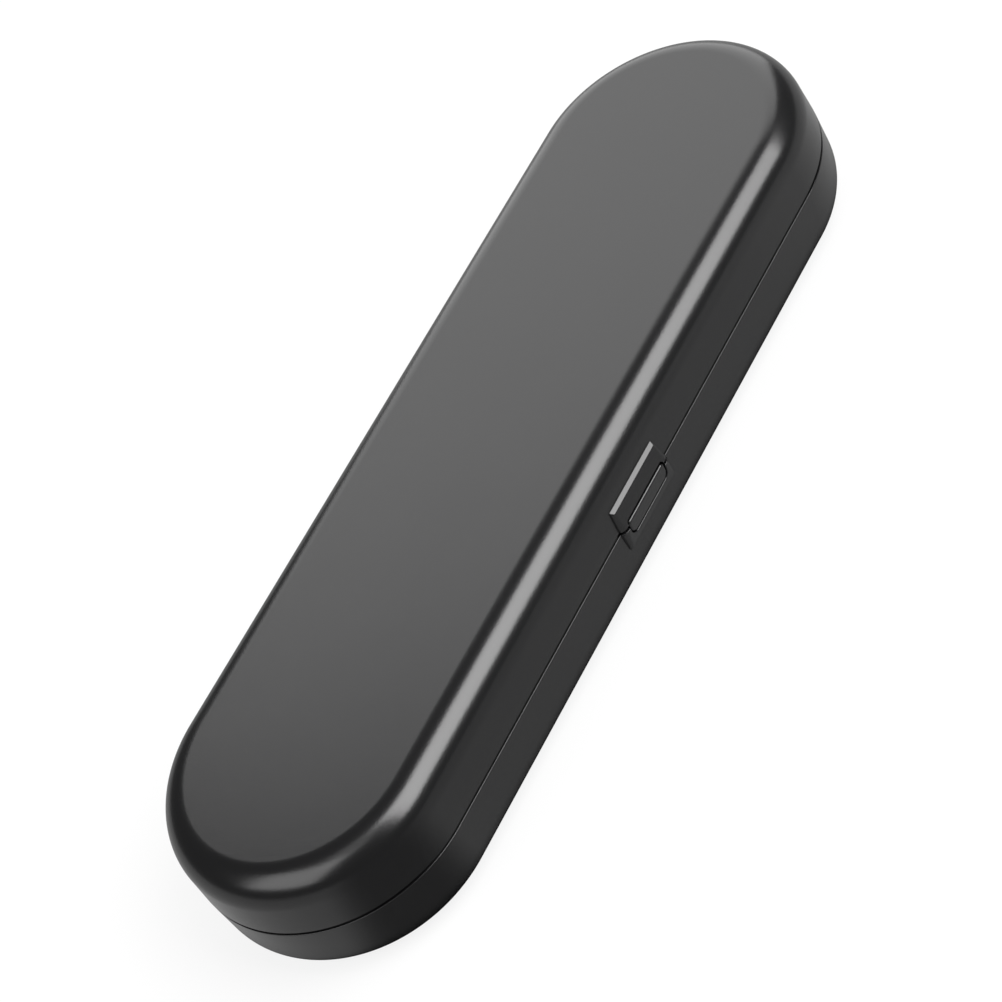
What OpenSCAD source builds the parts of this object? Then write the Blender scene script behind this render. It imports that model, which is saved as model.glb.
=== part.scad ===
// Travel case for an electric toothbrush. Two hinged shells close over a moulded tray and a liner,
// which hold the handle and two brush heads. A press button at the front frees the lid.
// The case is sized from what it holds: the handle sets the height, the handle and a brush head
// side by side set the width, and the handle with its shaft sets the length.

/* [Handle bay] */
// Radius of the bay that the handle lies in
handle_r = 13.05; // [12.5:0.05:14]
// Length of the bay's full round stretch, where the grip lies
grip_len = 136; // [120:1:150]
// Length of the bay's taper towards the neck
taper_len = 32; // [20:1:40]
// Length of the bay's narrow end, where the shaft lies
neck_len = 28; // [20:1:35]
// Radius of the bay at the end of the taper
shoulder_r = 8; // [6:0.5:10]
// Radius of the bay's narrow end
neck_r = 5; // [4:0.5:6]
// Rounding of the bay's foot end
foot_round = 6; // [4:0.5:8]

/* [Brush head bays] */
// Width of each brush head bay
head_w = 20; // [18:0.5:22]
// Length of each brush head bay
head_len = 74.5; // [66:0.5:78]
// Depth of a brush head bay below the deck of the tray
head_depth = 11.8; // [9:0.1:12]
// Depth of a brush head bay above the deck of the liner
head_rise = 8; // [6:0.5:9]
// Rounding of the corners of a brush head bay
head_round = 6; // [4:0.5:8]
// Radius of the peg that a brush head slips over
peg_r = 2.4; // [2:0.1:2.8]
// Thickness of the flange of the peg
peg_flange_t = 1.2; // [1:0.1:1.6]
// Space between the flange of the peg and the bay's floor
peg_lift = 1; // [0.5:0.1:1.5]
// Length of the peg inside the bay
peg_len = 11; // [8:0.5:14]
// Radius of the flange of the peg
peg_flange_r = 4.2; // [3.6:0.1:4.6]
// How far the peg's stub stands out behind the bay's end wall
peg_stub = 0.6; // [0.4:0.1:0.8]
// Length of the peg's tapered tip
peg_tip = 1; // [0.6:0.1:1.4]
// How much the tip of the peg narrows
peg_taper = 0.8; // [0.4:0.1:1]
// Space for the post between the latch's opening and the bays
well_gap = 0.5; // [0.4:0.1:1]

/* [Shells] */
// Wall of the two outer shells
wall = 1.8; // [1.6:0.1:2.2]
// Rounding of the edge of the top face
top_round = 7.3; // [6:0.1:8]
// Rounding of the bottom edge
bottom_round = 8.6; // [7:0.1:9]
// How far the lid's wall leans in, from the seam to its rounding
lid_lean = 0.35; // [0.1:0.05:0.6]
// How far the base's wall leans in, from the seam to its rounding
base_lean = 0.1; // [0:0.05:0.3]
// Height of the seam above the axis of the handle
seam_rise = 1.2; // [0.8:0.1:1.6]
// Visible gap between the rims of lid and base
seam_gap = 0.35; // [0.2:0.05:0.5]
// Thickness of the base's inner lip
lip_t = 0.8; // [0.6:0.05:0.9]
// Height of the inner lip above the rim of the base
lip_h = 1.2; // [0.8:0.1:1.4]
// Play of the lip inside the lid
lip_play = 0.2; // [0.15:0.05:0.3]
// Play between the top of the lip and the lid that rests on it
rest_play = 0.05; // [0.02:0.01:0.1]

/* [Tray and liner] */
// Skin of the tray and of the liner
skin = 1.0; // [0.8:0.05:1.2]
// Gap between a bay's skin and the shell's floor or roof
stack_gap = 0.2; // [0.15:0.05:0.4]
// Gap between the tray's edge and the base
tray_gap = 0.3; // [0.2:0.05:0.6]
// Gap between the liner's edge and the lid
liner_gap = 0.5; // [0.4:0.05:0.8]
// Drop of the tray's deck below the seam, and rise of the liner's above it
deck_drop = 0.45; // [0.4:0.05:0.7]
// Space between the handle bay and the back wall
back_margin = 2.9; // [2:0.1:4]
// Space between the brush head bays and the front wall
front_margin = 4.45; // [4:0.05:6]
// Space between the handle bay and the brush head bays
rib_gap = 4.45; // [4:0.05:6]
// Space from the foot of the handle bay to the end of the case
foot_margin = 16.85; // [16:0.05:22]
// Space from the shaft end of the handle bay to the end of the case
neck_margin = 12.85; // [11:0.05:20]
// Half width of the finger scoop beside the handle
scoop_half = 9.5; // [7:0.5:10]
// Reach of the finger scoop from the handle bay towards the front
scoop_reach = 15; // [10:0.5:17]
// Depth of the finger scoop
scoop_depth = 8; // [5:0.5:9]
// How far the finger scoop runs into the handle bay
scoop_in = 4; // [3:0.5:6]

/* [Soft pads] */
// Thickness of the grip pads in both halves
pad_t = 0.8; // [0.5:0.1:1.2]
// Width of the grip pads
pad_w = 14; // [10:1:18]
// Distance of the base's pads below the axis of the handle
pad_drop = 2; // [1:0.5:4]
// Distance of the lid's pads above the axis of the handle
pad_rise = 6; // [4:0.5:8]
// Distance of the rear pad from the foot end of the bay
pad_foot_x = 18; // [16:1:30]
// Distance of the front pad from the start of the taper
pad_neck_x = 16; // [12:1:30]
// Thickness of the foam over the brush heads
foam_t = 2; // [1:0.5:3]
// Length of the foam over a brush head
foam_len = 24; // [16:1:32]
// Space between the foam and the sides of its bay
foam_side = 2; // [1:0.5:4]
// Space between the foam and the outer end of its bay
foam_end = 6; // [2:1:12]

/* [Fixing posts] */
// Radius of the posts that carry the tray and the liner
post_r = 2.4; // [2.2:0.1:2.6]
// Distance of the end posts from the ends of the case
post_end = 14.85; // [13:0.05:16]
// Distance of the end posts from the edge of the handle bay, towards the front
post_front = 8; // [6:0.5:9]
// Distance of the post beside the scoop from the skins around it
post_gap = 0.3; // [0.2:0.05:0.5]
// Distance of the neck's post from the start of the round end
neck_post_along = 4; // [3:0.5:6]
// Distance of the neck's post from the back face
neck_post_back = 7.7; // [7:0.1:9]
// Play between a part and the posts, bores or bays that it seats in
seat_play = 0.02; // [0.01:0.01:0.05]
// Play of the screws in the pieces that they pass through
screw_play = 0.05; // [0.03:0.01:0.08]
// Radius of the screws' shanks
screw_r = 1.0; // [0.8:0.05:1.1]
// Radius of the countersunk heads
csk_r = 1.9; // [1.6:0.05:2.1]
// Height of the countersunk heads
csk_h = 0.8; // [0.6:0.05:0.8]
// Length of the screws of tray and liner
screw_len = 7; // [5:0.5:10]

/* [Hinges] */
// Radius of the hinge knuckles
knuckle_r = 2.1; // [1.9:0.05:2.5]
// Radius of the steel hinge pins
pin_r = 0.8; // [0.6:0.05:0.9]
// Running play of the pin in the lid's knuckle
pin_play = 0.06; // [0.03:0.01:0.1]
// Play of the pin in the base's knuckles, which hold it
pin_hold = 0.02; // [0.01:0.01:0.03]
// Distance of each hinge from the middle of the case
hinge_x = 46; // [36:1:56]
// Length of the lid's knuckle
lid_knuckle = 12; // [8:0.5:16]
// Length of each of the base's two knuckles
base_knuckle = 6; // [4:0.5:8]
// Gap between neighbouring knuckles
knuckle_gap = 0.3; // [0.2:0.05:0.5]
// Gap between a knuckle and the wall that it turns beside
swing_gap = 0.3; // [0.3:0.05:0.6]
// Height of the stop block above and below the seam
stop_h = 7; // [6:0.5:8]
// Play between the two stop blocks with the lid laid flat
stop_play = 0.04; // [0.02:0.01:0.1]
// Solid end behind the pin's blind hole
pin_cap = 1; // [0.8:0.1:1.5]
// Depth of the pin's end inside the open end of its hole
pin_set = 0.4; // [0.2:0.1:0.8]
// Space between the pin and the blind end of its hole
pin_end = 0.2; // [0.1:0.05:0.4]

/* [Latch] */
// Half width of the raised latch pad
latch_half = 10.2; // [9.6:0.1:11]
// How much narrower the pad is at its top, on each side
latch_taper = 1; // [0.5:0.1:1.5]
// Height of the latch pad above the seam
latch_rise = 5.45; // [4.5:0.05:6]
// Height of the sloped ledge along the top of the pad
latch_ledge = 0.8; // [0.5:0.1:1]
// Height of the latch pad below the seam
latch_drop = 6.2; // [5.6:0.1:7]
// How far the pad stands out at the seam
latch_proud = 1.3; // [1:0.05:1.6]
// How much less the pad stands out at the foot of its ledge
latch_slope = 0.95; // [0.5:0.05:1]
// How much less the pad stands out above the rounding of its lower edge
latch_fall = 0.45; // [0:0.05:0.6]
// Rounding of the pad's ends and of its lower edge
latch_round = 1.6; // [1.6:0.1:2]
// Half width of the button's window
window_half = 8; // [7.6:0.1:8.2]
// Height of the window below the seam
window_drop = 3.55; // [3.2:0.05:3.8]
// Rounding of the lower corners of the window
window_round = 1.8; // [1:0.1:2]
// Height of the notch in the lid's pad
notch_rise = 1.1; // [0.9:0.05:1.3]
// Rounding of the upper corners of the notch
notch_round = 0.9; // [0.5:0.1:0.9]
// Play of the button in its window
button_play = 0.2; // [0.1:0.05:0.3]
// Travel of the button
button_travel = 1.2; // [1:0.05:1.4]
// How far the top edge of the button's face stands out past the pad
button_proud = 0.1; // [0:0.05:0.2]
// How much less the face stands out at its lower edge
button_lean = 0.45; // [0.3:0.05:0.6]
// Thickness of the button's flange behind the wall
flange_t = 1.0; // [0.8:0.05:1.2]
// How far the flange reaches past the window on each side
flange_over = 1.2; // [1:0.1:1.4]
// How far the flange reaches below the window
flange_drop = 1.3; // [1:0.1:1.5]
// Play between pieces of the latch that meet face to face
latch_play = 0.05; // [0.03:0.01:0.08]
// Space around the hook in the keeper
hook_play = 0.15; // [0.1:0.05:0.2]
// Half width of the rib that pushes the leaf
push_half = 2.5; // [1.5:0.5:4]
// Height of the slope at each end of the rib
push_slope = 1; // [0.6:0.1:1.4]
// Thickness of the leaf spring
leaf_t = 0.4; // [0.3:0.05:0.5]
// Half width of the leaf spring
leaf_half = 6.2; // [5:0.1:6.4]
// Half width of the hook at the top of the leaf spring
hook_half = 4; // [3:0.1:4.4]
// Height of the hook above the seam
hook_rise = 2.5; // [2.4:0.05:2.7]
// Bevel of the hook's nose
hook_bevel = 0.25; // [0.1:0.05:0.3]
// Height of the slot in the keeper
slot_h = 1.9; // [1.6:0.1:2]
// Thickness of the keeper plate in the lid
keeper_t = 0.7; // [0.6:0.05:0.8]
// Half width of the keeper plate
keeper_half = 8; // [7.6:0.1:8.2]
// Height of the keeper plate above its slot
keeper_over = 2; // [1.6:0.1:2.4]
// How far the keeper's seat reaches past the plate
seat_rim = 0.5; // [0.3:0.1:0.8]
// Thickness of the keeper's seat behind the lid's wall
keeper_seat = 0.8; // [0.7:0.05:1]
// Height of the foot of the leaf spring above the floor
clamp_rise = 2.6; // [2.4:0.1:3]
// Height of the clamped foot of the leaf spring
clamp_h = 5.4; // [4.8:0.1:5.8]
// How far the seat of the leaf spring reaches past it on each side
clamp_side = 2.6; // [2:0.1:3]
// Height of the seat below the foot of the leaf spring
clamp_step = 1; // [0.8:0.1:1.4]
// Distance of the latch's screws from its middle
latch_screw_x = 4.4; // [4:0.1:4.8]
// Space between the latch and the tray's edges beside it
latch_margin = 2; // [2:0.1:3]
// Height of the bracket's ears above the base's rim, over the flange of the button
ear_cap = 0.8; // [0.6:0.1:0.9]
// Space behind the heads of the latch's screws
latch_room = 1.7; // [1:0.1:2]
// Thickness of the bracket that clamps the leaf spring
bracket_t = 1.3; // [1:0.05:1.5]
// Radius of the pan heads of the latch screws
pan_r = 1.7; // [1.5:0.05:1.8]
// Height of the pan heads
pan_h = 0.9; // [0.8:0.05:1.2]

/* [Hidden] */

$fn = 96;

SHELL = [0.13, 0.13, 0.14];
INNER = [0.30, 0.31, 0.33];
SOFT = [0.18, 0.19, 0.20];
STEEL = [0.75, 0.76, 0.78];

// Sizes of the case that follow from what it holds
axis_z = wall + stack_gap + skin + handle_r;
body_h = 2 * axis_z;
body_w = 2 * wall + back_margin + 2 * (handle_r + skin) + rib_gap + head_w + 2 * skin + front_margin;
body_l = foot_margin + grip_len + taper_len + neck_len + neck_margin;
end_r = body_w / 2;
half = body_l / 2 - end_r;
seam_z = axis_z + seam_rise;
base_rim = seam_z - seam_gap / 2;
lid_rim = seam_z + seam_gap / 2;
in_r = end_r - wall;

// Small overlap of joined solids, and how far cuts and roots run past the faces that they cross
eps = 0.01;
over = 1;

// Places of the bays
bay_y = in_r - back_margin - skin - handle_r;
head_y = -in_r + front_margin + skin + head_w / 2;
foot_x = -body_l / 2 + foot_margin;
taper_x = foot_x + grip_len;
neck_x = taper_x + taper_len;
deck_top = seam_z - deck_drop;
deck_low = deck_top - skin;
liner_low = seam_z + deck_drop;
liner_top = liner_low + skin;

// Latch: depths are measured inwards from the outer face of the front wall
flange_v = wall + base_lean + latch_play;
stop_v = flange_v + flange_t + button_travel + latch_play;
leaf_v = stop_v - 2 * latch_play;
plate_v = leaf_v + leaf_t;
seat_v = wall + keeper_seat;
hook_v = seat_v + hook_play;
latch_zone = latch_half + latch_margin;
latch_depth = plate_v + bracket_t + pan_h + latch_room;
window_low = seam_z - window_drop;
flange_low = window_low - flange_drop;
flange_top = base_rim - button_play;
clamp_low = wall + clamp_rise;
clamp_top = clamp_low + clamp_h;
clamp_z = clamp_low + clamp_h / 2;
notch_top = lid_rim + notch_rise;
keeper_low = notch_top + latch_play;
slot_low = seam_z + hook_rise - hook_play;
slot_top = slot_low + slot_h;
keeper_top = slot_top + keeper_over;
keeper_screw_z = (slot_low + slot_top) / 2;
keeper_screw_x = keeper_half - pan_r - 2 * hook_play;

// Depth of the middle of the base's wall at height z, in the round of the bottom edge
function wall_mid(z) =
    base_lean + bottom_round - sqrt((bottom_round - wall / 2) ^ 2 - (bottom_round - z) ^ 2);

// Hinge axis
hinge_y = end_r + knuckle_r + swing_gap;
hinge_len = lid_knuckle + 2 * base_knuckle + 2 * knuckle_gap;

// Brush head bays start past the latch and the scoop
well_in = latch_zone + 2 * post_r + well_gap;

// Fixing posts: two at the ends, one beside the scoop and one behind the neck of the bay
posts = [
    [-body_l / 2 + post_end, bay_y - handle_r - post_front],
    [body_l / 2 - post_end, bay_y - handle_r - post_front],
    [-(well_in - skin - post_r - post_gap), bay_y - handle_r - skin - post_r - post_gap],
    [half + neck_post_along, end_r - neck_post_back]
];

// The origin is under the middle of the case's whole box, with the hinge and the button
button_front = latch_proud + button_proud;
shift_y = (button_front - (hinge_y + knuckle_r - end_r)) / 2;

module in_frame() {
    translate([0, shift_y, 0]) children();
}

// A quarter of a disc, for a round edge
module quarter(r) {
    intersection() {
        circle(r);
        square(r);
    }
}

// Sweeps a half profile round a plan with straight sides and round ends
module racetrack() {
    translate([half, 0, 0]) rotate([0, 0, -90]) rotate_extrude(angle = 180) children();
    translate([-half, 0, 0]) rotate([0, 0, 90]) rotate_extrude(angle = 180) children();
    translate([-half, 0, 0]) rotate([90, 0, 90]) linear_extrude(2 * half) {
        children();
        mirror([1, 0]) children();
    }
}

// Half profile of the lid from the height low upwards, drawn in by t
module lid_profile(t, low) {
    r = top_round - t;
    top = body_h - t;
    lean_z = body_h - top_round;
    polygon([
        [0, low],
        [end_r - t, low],
        [end_r - t - lid_lean, lean_z],
        [0, lean_z]
    ]);
    translate([0, lean_z]) square([end_r - t - lid_lean - r, r]);
    translate([end_r - t - lid_lean - r, lean_z]) quarter(r);
}

// Half profile of the base up to the height high, drawn in by t
module base_profile(t, high) {
    r = bottom_round - t;
    polygon([
        [0, bottom_round],
        [end_r - t - base_lean, bottom_round],
        [end_r - t, high],
        [0, high]
    ]);
    translate([0, t]) square([end_r - t - base_lean - r, r]);
    translate([end_r - t - base_lean - r, bottom_round]) mirror([0, 1]) quarter(r);
}

// Extrudes a drawing of depth and height along the front wall, to half the width each way
module along_front(half_x) {
    translate([-half_x, -end_r, 0]) rotate([90, 0, 90]) linear_extrude(2 * half_x) children();
}

// Extrudes a drawing of width and height through the front wall, between two depths
module through_front(v0, v1) {
    translate([0, -end_r + v1, 0]) rotate([90, 0, 0]) linear_extrude(v1 - v0) children();
}

// Outline of the button's window, drawn in by play, with its top edge at high
module window_outline(play, high) {
    w = window_half - play;
    low = window_low + play;
    r = window_round;
    translate([-w, low + r]) square([2 * w, high - low - r]);
    translate([-w + r, low]) square([2 * (w - r), r + eps]);
    for (side = [-1, 1]) translate([side * (w - r), low + r]) circle(r);
}

// Outline of the notch in the lid's pad, drawn in by play
module notch_outline(play) {
    w = window_half - play;
    high = notch_top - play;
    r = notch_round;
    translate([-w, lid_rim - over]) square([2 * w, high - r - lid_rim + over]);
    translate([-w + r, lid_rim - over]) square([2 * (w - r), high - lid_rim + over]);
    for (side = [-1, 1]) translate([side * (w - r), high - r]) circle(r);
}

// Plan of the latch pad between two heights, with its corners rounded
module pad_plan(low, high) {
    w = latch_half;
    r = latch_round;
    translate([0, -end_r - latch_proud, low]) linear_extrude(high - low) {
        translate([-w, r]) square([2 * w, wall / 2 + latch_proud - r]);
        translate([-w + r, 0]) square([2 * (w - r), wall / 2 + latch_proud]);
        for (side = [-1, 1]) translate([side * (w - r), r]) circle(r);
    }
}

// A countersunk screw that hangs down from the origin
module csk_screw(grow) {
    translate([0, 0, -csk_h]) cylinder(h = csk_h, r1 = screw_r + grow, r2 = csk_r + grow);
    translate([0, 0, -screw_len - grow]) cylinder(h = screw_len + grow - csk_h + eps, r = screw_r + grow);
}

// A pan head screw whose head stands up from the origin
module pan_screw(length) {
    cylinder(h = pan_h, r = pan_r);
    translate([0, 0, -length]) cylinder(h = length + eps, r = screw_r);
}

// The handle bay as a solid of revolution about its axis, grown outwards by t
module handle_form(t) {
    r = foot_round + t;
    main = handle_r + t;
    translate([0, bay_y, axis_z]) rotate([0, 90, 0]) rotate_extrude() {
        translate([0, foot_x - t]) square([main - r, r]);
        translate([main - r, foot_x - t + r]) mirror([0, 1]) quarter(r);
        translate([0, foot_x - t + r]) square([main, taper_x - foot_x + t - r]);
        polygon([[0, taper_x], [main, taper_x], [shoulder_r + t, neck_x], [0, neck_x]]);
        translate([0, neck_x]) square([neck_r + t, neck_len + t]);
    }
}

// Plan of the handle bay, which carries it up from its axis to the deck
module handle_plan(t) {
    r = foot_round + t;
    main = handle_r + t;
    translate([0, bay_y]) {
        translate([foot_x - t, -main + r]) square([r, 2 * (main - r)]);
        for (side = [-1, 1]) translate([foot_x - t + r, side * (main - r)]) circle(r);
        translate([foot_x - t + r, -main]) square([taper_x - foot_x + t - r, 2 * main]);
        polygon([
            [taper_x, -main],
            [neck_x, -shoulder_r - t],
            [neck_x, shoulder_r + t],
            [taper_x, main]
        ]);
        translate([neck_x, -neck_r - t]) square([neck_len + t, 2 * (neck_r + t)]);
    }
}

// Plan of one brush head bay, on the right for side 1 and on the left for side -1
module head_plan(side, t) {
    r = head_round + t;
    x0 = well_in - t;
    len = head_len + 2 * t;
    w = head_w + 2 * t;
    translate([side > 0 ? x0 : -x0 - len, head_y - w / 2]) {
        translate([r, 0]) square([len - 2 * r, w]);
        translate([0, r]) square([len, w - 2 * r]);
        for (x = [r, len - r]) for (y = [r, w - r]) translate([x, y]) circle(r);
    }
}

// Plan of the finger scoop, which opens into the handle bay
module scoop_plan(t) {
    y1 = bay_y - handle_r + scoop_in;
    y0 = bay_y - handle_r - scoop_reach;
    w = scoop_half + t;
    translate([-w, y0 - t + w / 2]) square([2 * w, y1 - y0 + t - w / 2]);
    translate([-w / 2, y0 - t]) square([w, w / 2 + eps]);
    for (side = [-1, 1]) translate([side * w / 2, y0 - t + w / 2]) circle(w / 2);
}

// Plan of a deck with straight sides and round ends, cut away at the latch
module deck_plan(gap) {
    r = in_r - gap;
    difference() {
        union() {
            translate([-half, -r]) square([2 * half, 2 * r]);
            for (side = [-1, 1]) translate([side * half, 0]) circle(r);
        }
        translate([-latch_zone, -end_r]) square([2 * latch_zone, latch_depth]);
    }
}

// The part of a hinge that stands out from a shell; up is 1 on the lid and -1 on the base
module hinge_block(up) {
    w = hinge_y - end_r;
    root = w + wall / 2;
    along = up > 0 ? [[-lid_knuckle / 2, lid_knuckle]] : [
        [-hinge_len / 2, base_knuckle],
        [hinge_len / 2 - base_knuckle, base_knuckle]
    ];
    near = knuckle_r + swing_gap;
    for (span = along) translate([span[0], hinge_y, seam_z]) rotate([90, 0, 90]) {
        linear_extrude(span[1]) polygon([
            [-root, up * seam_gap / 2],
            [0, up * seam_gap / 2],
            [0, up * (near + eps)],
            [-root, up * (near + eps)]
        ]);
        cylinder(h = span[1], r = knuckle_r);
    }
    translate([-hinge_len / 2, hinge_y, seam_z]) rotate([90, 0, 90]) linear_extrude(hinge_len) polygon([
        [-root, up * near],
        [-stop_play / 2, up * near],
        [-stop_play / 2, up * (stop_h - w)],
        [-w, up * stop_h],
        [-root, up * stop_h]
    ]);
}

// Bores for the pins, open towards the middle of the case
module hinge_bores(up) {
    r = pin_r + (up > 0 ? pin_play : pin_hold);
    for (side = [-1, 1]) translate([side * hinge_x, hinge_y, seam_z]) rotate([0, side * 90, 0]) {
        translate([0, 0, -hinge_len / 2 - over]) cylinder(h = hinge_len + over - pin_cap, r = r);
    }
}

module hinge_pin(side) {
    length = hinge_len - pin_cap - pin_set - pin_end;
    color(STEEL) in_frame() translate([side * hinge_x, hinge_y, seam_z]) rotate([0, side * 90, 0]) {
        translate([0, 0, -hinge_len / 2 + pin_set]) cylinder(h = length, r = pin_r);
    }
}

module hinge_pin_left() {
    hinge_pin(-1);
}

module hinge_pin_right() {
    hinge_pin(1);
}

// Bottom shell with its lip, posts, hinge blocks and the lower half of the latch pad
module base_shell() {
    pad_low = seam_z - latch_drop;
    foot_v = latch_round + latch_fall - latch_proud;
    seat_low = clamp_low - clamp_step;
    color(SHELL) in_frame() difference() {
        union() {
            difference() {
                racetrack() difference() {
                    union() {
                        base_profile(0, base_rim);
                        translate([in_r, base_rim - over]) square([lip_t, lip_h + over]);
                    }
                    base_profile(wall, base_rim + lip_h + over);
                }
                translate([-latch_zone, -end_r - over, base_rim]) {
                    cube([2 * latch_zone, wall + 2 * over, lip_h + over]);
                }
            }
            intersection() {
                pad_plan(pad_low, base_rim);
                along_front(latch_half + over) {
                    polygon([
                        [-latch_proud, base_rim],
                        [-latch_proud + latch_fall, pad_low + latch_round],
                        [foot_v, pad_low + latch_round],
                        [foot_v, pad_low],
                        [wall, pad_low],
                        [wall, base_rim]
                    ]);
                    translate([foot_v, pad_low + latch_round]) rotate(180) quarter(latch_round);
                }
            }
            along_front(leaf_half + clamp_side) polygon([
                [wall_mid(seat_low), seat_low],
                [plate_v, seat_low],
                [plate_v, clamp_low],
                [leaf_v, clamp_low],
                [leaf_v, clamp_top],
                [wall_mid(clamp_top), clamp_top],
                [wall_mid((clamp_low + clamp_top) / 2), (clamp_low + clamp_top) / 2]
            ]);
            for (p = posts) translate([p[0], p[1], wall / 2]) {
                cylinder(h = deck_low - wall / 2 - seat_play, r = post_r);
            }
            for (side = [-1, 1]) translate([side * hinge_x, 0, 0]) hinge_block(-1);
        }
        hinge_bores(-1);
        through_front(-button_front - over, wall + over) window_outline(0, base_rim + over);
        for (p = posts) translate([p[0], p[1], deck_top]) csk_screw(seat_play);
        for (side = [-1, 1]) translate([side * latch_screw_x, -end_r + wall / 2, clamp_z]) {
            rotate([-90, 0, 0]) cylinder(h = leaf_v, r = screw_r + seat_play);
        }
    }
}

// Top shell with its posts, hinge blocks, the keeper's seat and the upper half of the latch pad
module lid_shell() {
    pad_top = seam_z + latch_rise;
    pad_w = latch_half - latch_taper;
    color(SHELL) in_frame() difference() {
        union() {
            racetrack() difference() {
                lid_profile(0, lid_rim);
                lid_profile(wall, lid_rim - over);
                translate([in_r - over, lid_rim - over]) {
                    square([over + lip_t + lip_play, base_rim + lip_h + rest_play - lid_rim + over]);
                }
            }
            intersection() {
                pad_plan(lid_rim, pad_top);
                through_front(-latch_proud - over, wall) polygon([
                    [-latch_half, lid_rim],
                    [latch_half, lid_rim],
                    [pad_w, pad_top],
                    [-pad_w, pad_top]
                ]);
                along_front(latch_half + over) polygon([
                    [wall / 4, lid_rim],
                    [-latch_proud, lid_rim],
                    [-latch_proud + latch_slope, pad_top - latch_ledge],
                    [lid_lean, pad_top],
                    [wall / 2, pad_top]
                ]);
            }
            along_front(keeper_half + seat_rim) polygon([
                [wall / 2, notch_top - eps],
                [seat_v, notch_top - eps],
                [seat_v, keeper_top + seat_rim],
                [wall / 2 + lid_lean, keeper_top + seat_rim]
            ]);
            for (p = posts) translate([p[0], p[1], liner_top + seat_play]) {
                cylinder(h = body_h - wall / 2 - liner_top - seat_play, r = post_r);
            }
            for (side = [-1, 1]) translate([side * hinge_x, 0, 0]) hinge_block(1);
        }
        hinge_bores(1);
        through_front(-button_front - over, wall + over) notch_outline(0);
        for (p = posts) translate([p[0], p[1], liner_low]) mirror([0, 0, 1]) csk_screw(seat_play);
        for (side = [-1, 1]) translate([side * keeper_screw_x, -end_r + wall / 2, keeper_screw_z]) {
            rotate([-90, 0, 0]) cylinder(h = seat_v, r = screw_r + seat_play);
        }
    }
}

// Press button: its face in the window, a flange behind the wall and a rib that meets the leaf
module latch_button() {
    color(SHELL) in_frame() {
        intersection() {
            through_front(-button_front, flange_v + eps) {
                window_outline(button_play, base_rim);
                intersection() {
                    notch_outline(button_play);
                    translate([-window_half, base_rim - eps]) square([2 * window_half, notch_rise + over]);
                }
            }
            along_front(window_half) polygon([
                [-button_front, notch_top - button_play],
                [-button_front + button_lean, window_low],
                [flange_v + over, window_low],
                [flange_v + over, notch_top - button_play]
            ]);
        }
        through_front(flange_v, flange_v + flange_t) {
            translate([-window_half - flange_over, flange_low]) {
                square([2 * (window_half + flange_over), flange_top - flange_low]);
            }
        }
        along_front(push_half) polygon([
            [flange_v + flange_t - eps, flange_low + push_slope],
            [leaf_v - latch_play, flange_low + 2 * push_slope],
            [leaf_v - latch_play, flange_top - push_slope],
            [flange_v + flange_t - eps, flange_top]
        ]);
    }
}

// Steel leaf spring, clamped at its foot, with a hook that reaches over the keeper
module latch_spring() {
    foot_z = clamp_low + latch_play;
    hook_low = seam_z + hook_rise;
    hook_top = hook_low + leaf_t;
    wide_h = flange_top - push_slope - foot_z;
    color(STEEL) in_frame() difference() {
        union() {
            along_front(hook_half) {
                translate([leaf_v, foot_z]) square([leaf_t, hook_top - foot_z]);
                polygon([
                    [hook_v, hook_low],
                    [leaf_v + eps, hook_low],
                    [leaf_v + eps, hook_top],
                    [hook_v + hook_bevel, hook_top],
                    [hook_v, hook_top - hook_bevel]
                ]);
            }
            along_front(leaf_half) translate([leaf_v, foot_z]) square([leaf_t, wide_h]);
        }
        for (side = [-1, 1]) translate([side * latch_screw_x, -end_r, clamp_z]) rotate([-90, 0, 0]) {
            cylinder(h = 2 * latch_depth, r = screw_r + screw_play);
        }
    }
}

// Bracket that clamps the leaf, stops the button and keeps it from rising out of its window
module latch_bracket() {
    ear_in = window_half + button_play;
    color(INNER) in_frame() difference() {
        union() {
            along_front(ear_in + 2 * flange_over) translate([plate_v, clamp_low + latch_play]) {
                square([bracket_t, clamp_h - latch_play]);
            }
            for (side = [-1, 1]) translate([side * (ear_in + flange_over), 0, 0]) {
                along_front(flange_over) polygon([
                    [plate_v, clamp_top - over],
                    [plate_v + bracket_t, clamp_top - over],
                    [plate_v + bracket_t, base_rim + ear_cap],
                    [flange_v, base_rim + ear_cap],
                    [flange_v, base_rim],
                    [stop_v, base_rim],
                    [stop_v, clamp_top + latch_play],
                    [plate_v, clamp_top + latch_play]
                ]);
            }
        }
        for (side = [-1, 1]) translate([side * latch_screw_x, -end_r, clamp_z]) rotate([-90, 0, 0]) {
            cylinder(h = 2 * latch_depth, r = screw_r + screw_play);
        }
    }
}

module latch_screws() {
    head_v = plate_v + bracket_t;
    color(STEEL) in_frame() for (side = [-1, 1]) {
        translate([side * latch_screw_x, -end_r + head_v, clamp_z]) {
            rotate([-90, 0, 0]) pan_screw(head_v - wall / 2 - latch_play);
        }
    }
}

// Steel keeper plate in the lid, with the slot that the hook enters
module latch_keeper() {
    slot_half = hook_half + hook_play;
    color(STEEL) in_frame() difference() {
        through_front(seat_v, seat_v + keeper_t) difference() {
            translate([-keeper_half, keeper_low]) square([2 * keeper_half, keeper_top - keeper_low]);
            translate([-slot_half, slot_low]) square([2 * slot_half, slot_h]);
        }
        for (side = [-1, 1]) translate([side * keeper_screw_x, -end_r, keeper_screw_z]) {
            rotate([-90, 0, 0]) cylinder(h = latch_depth, r = screw_r + screw_play);
        }
    }
}

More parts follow.
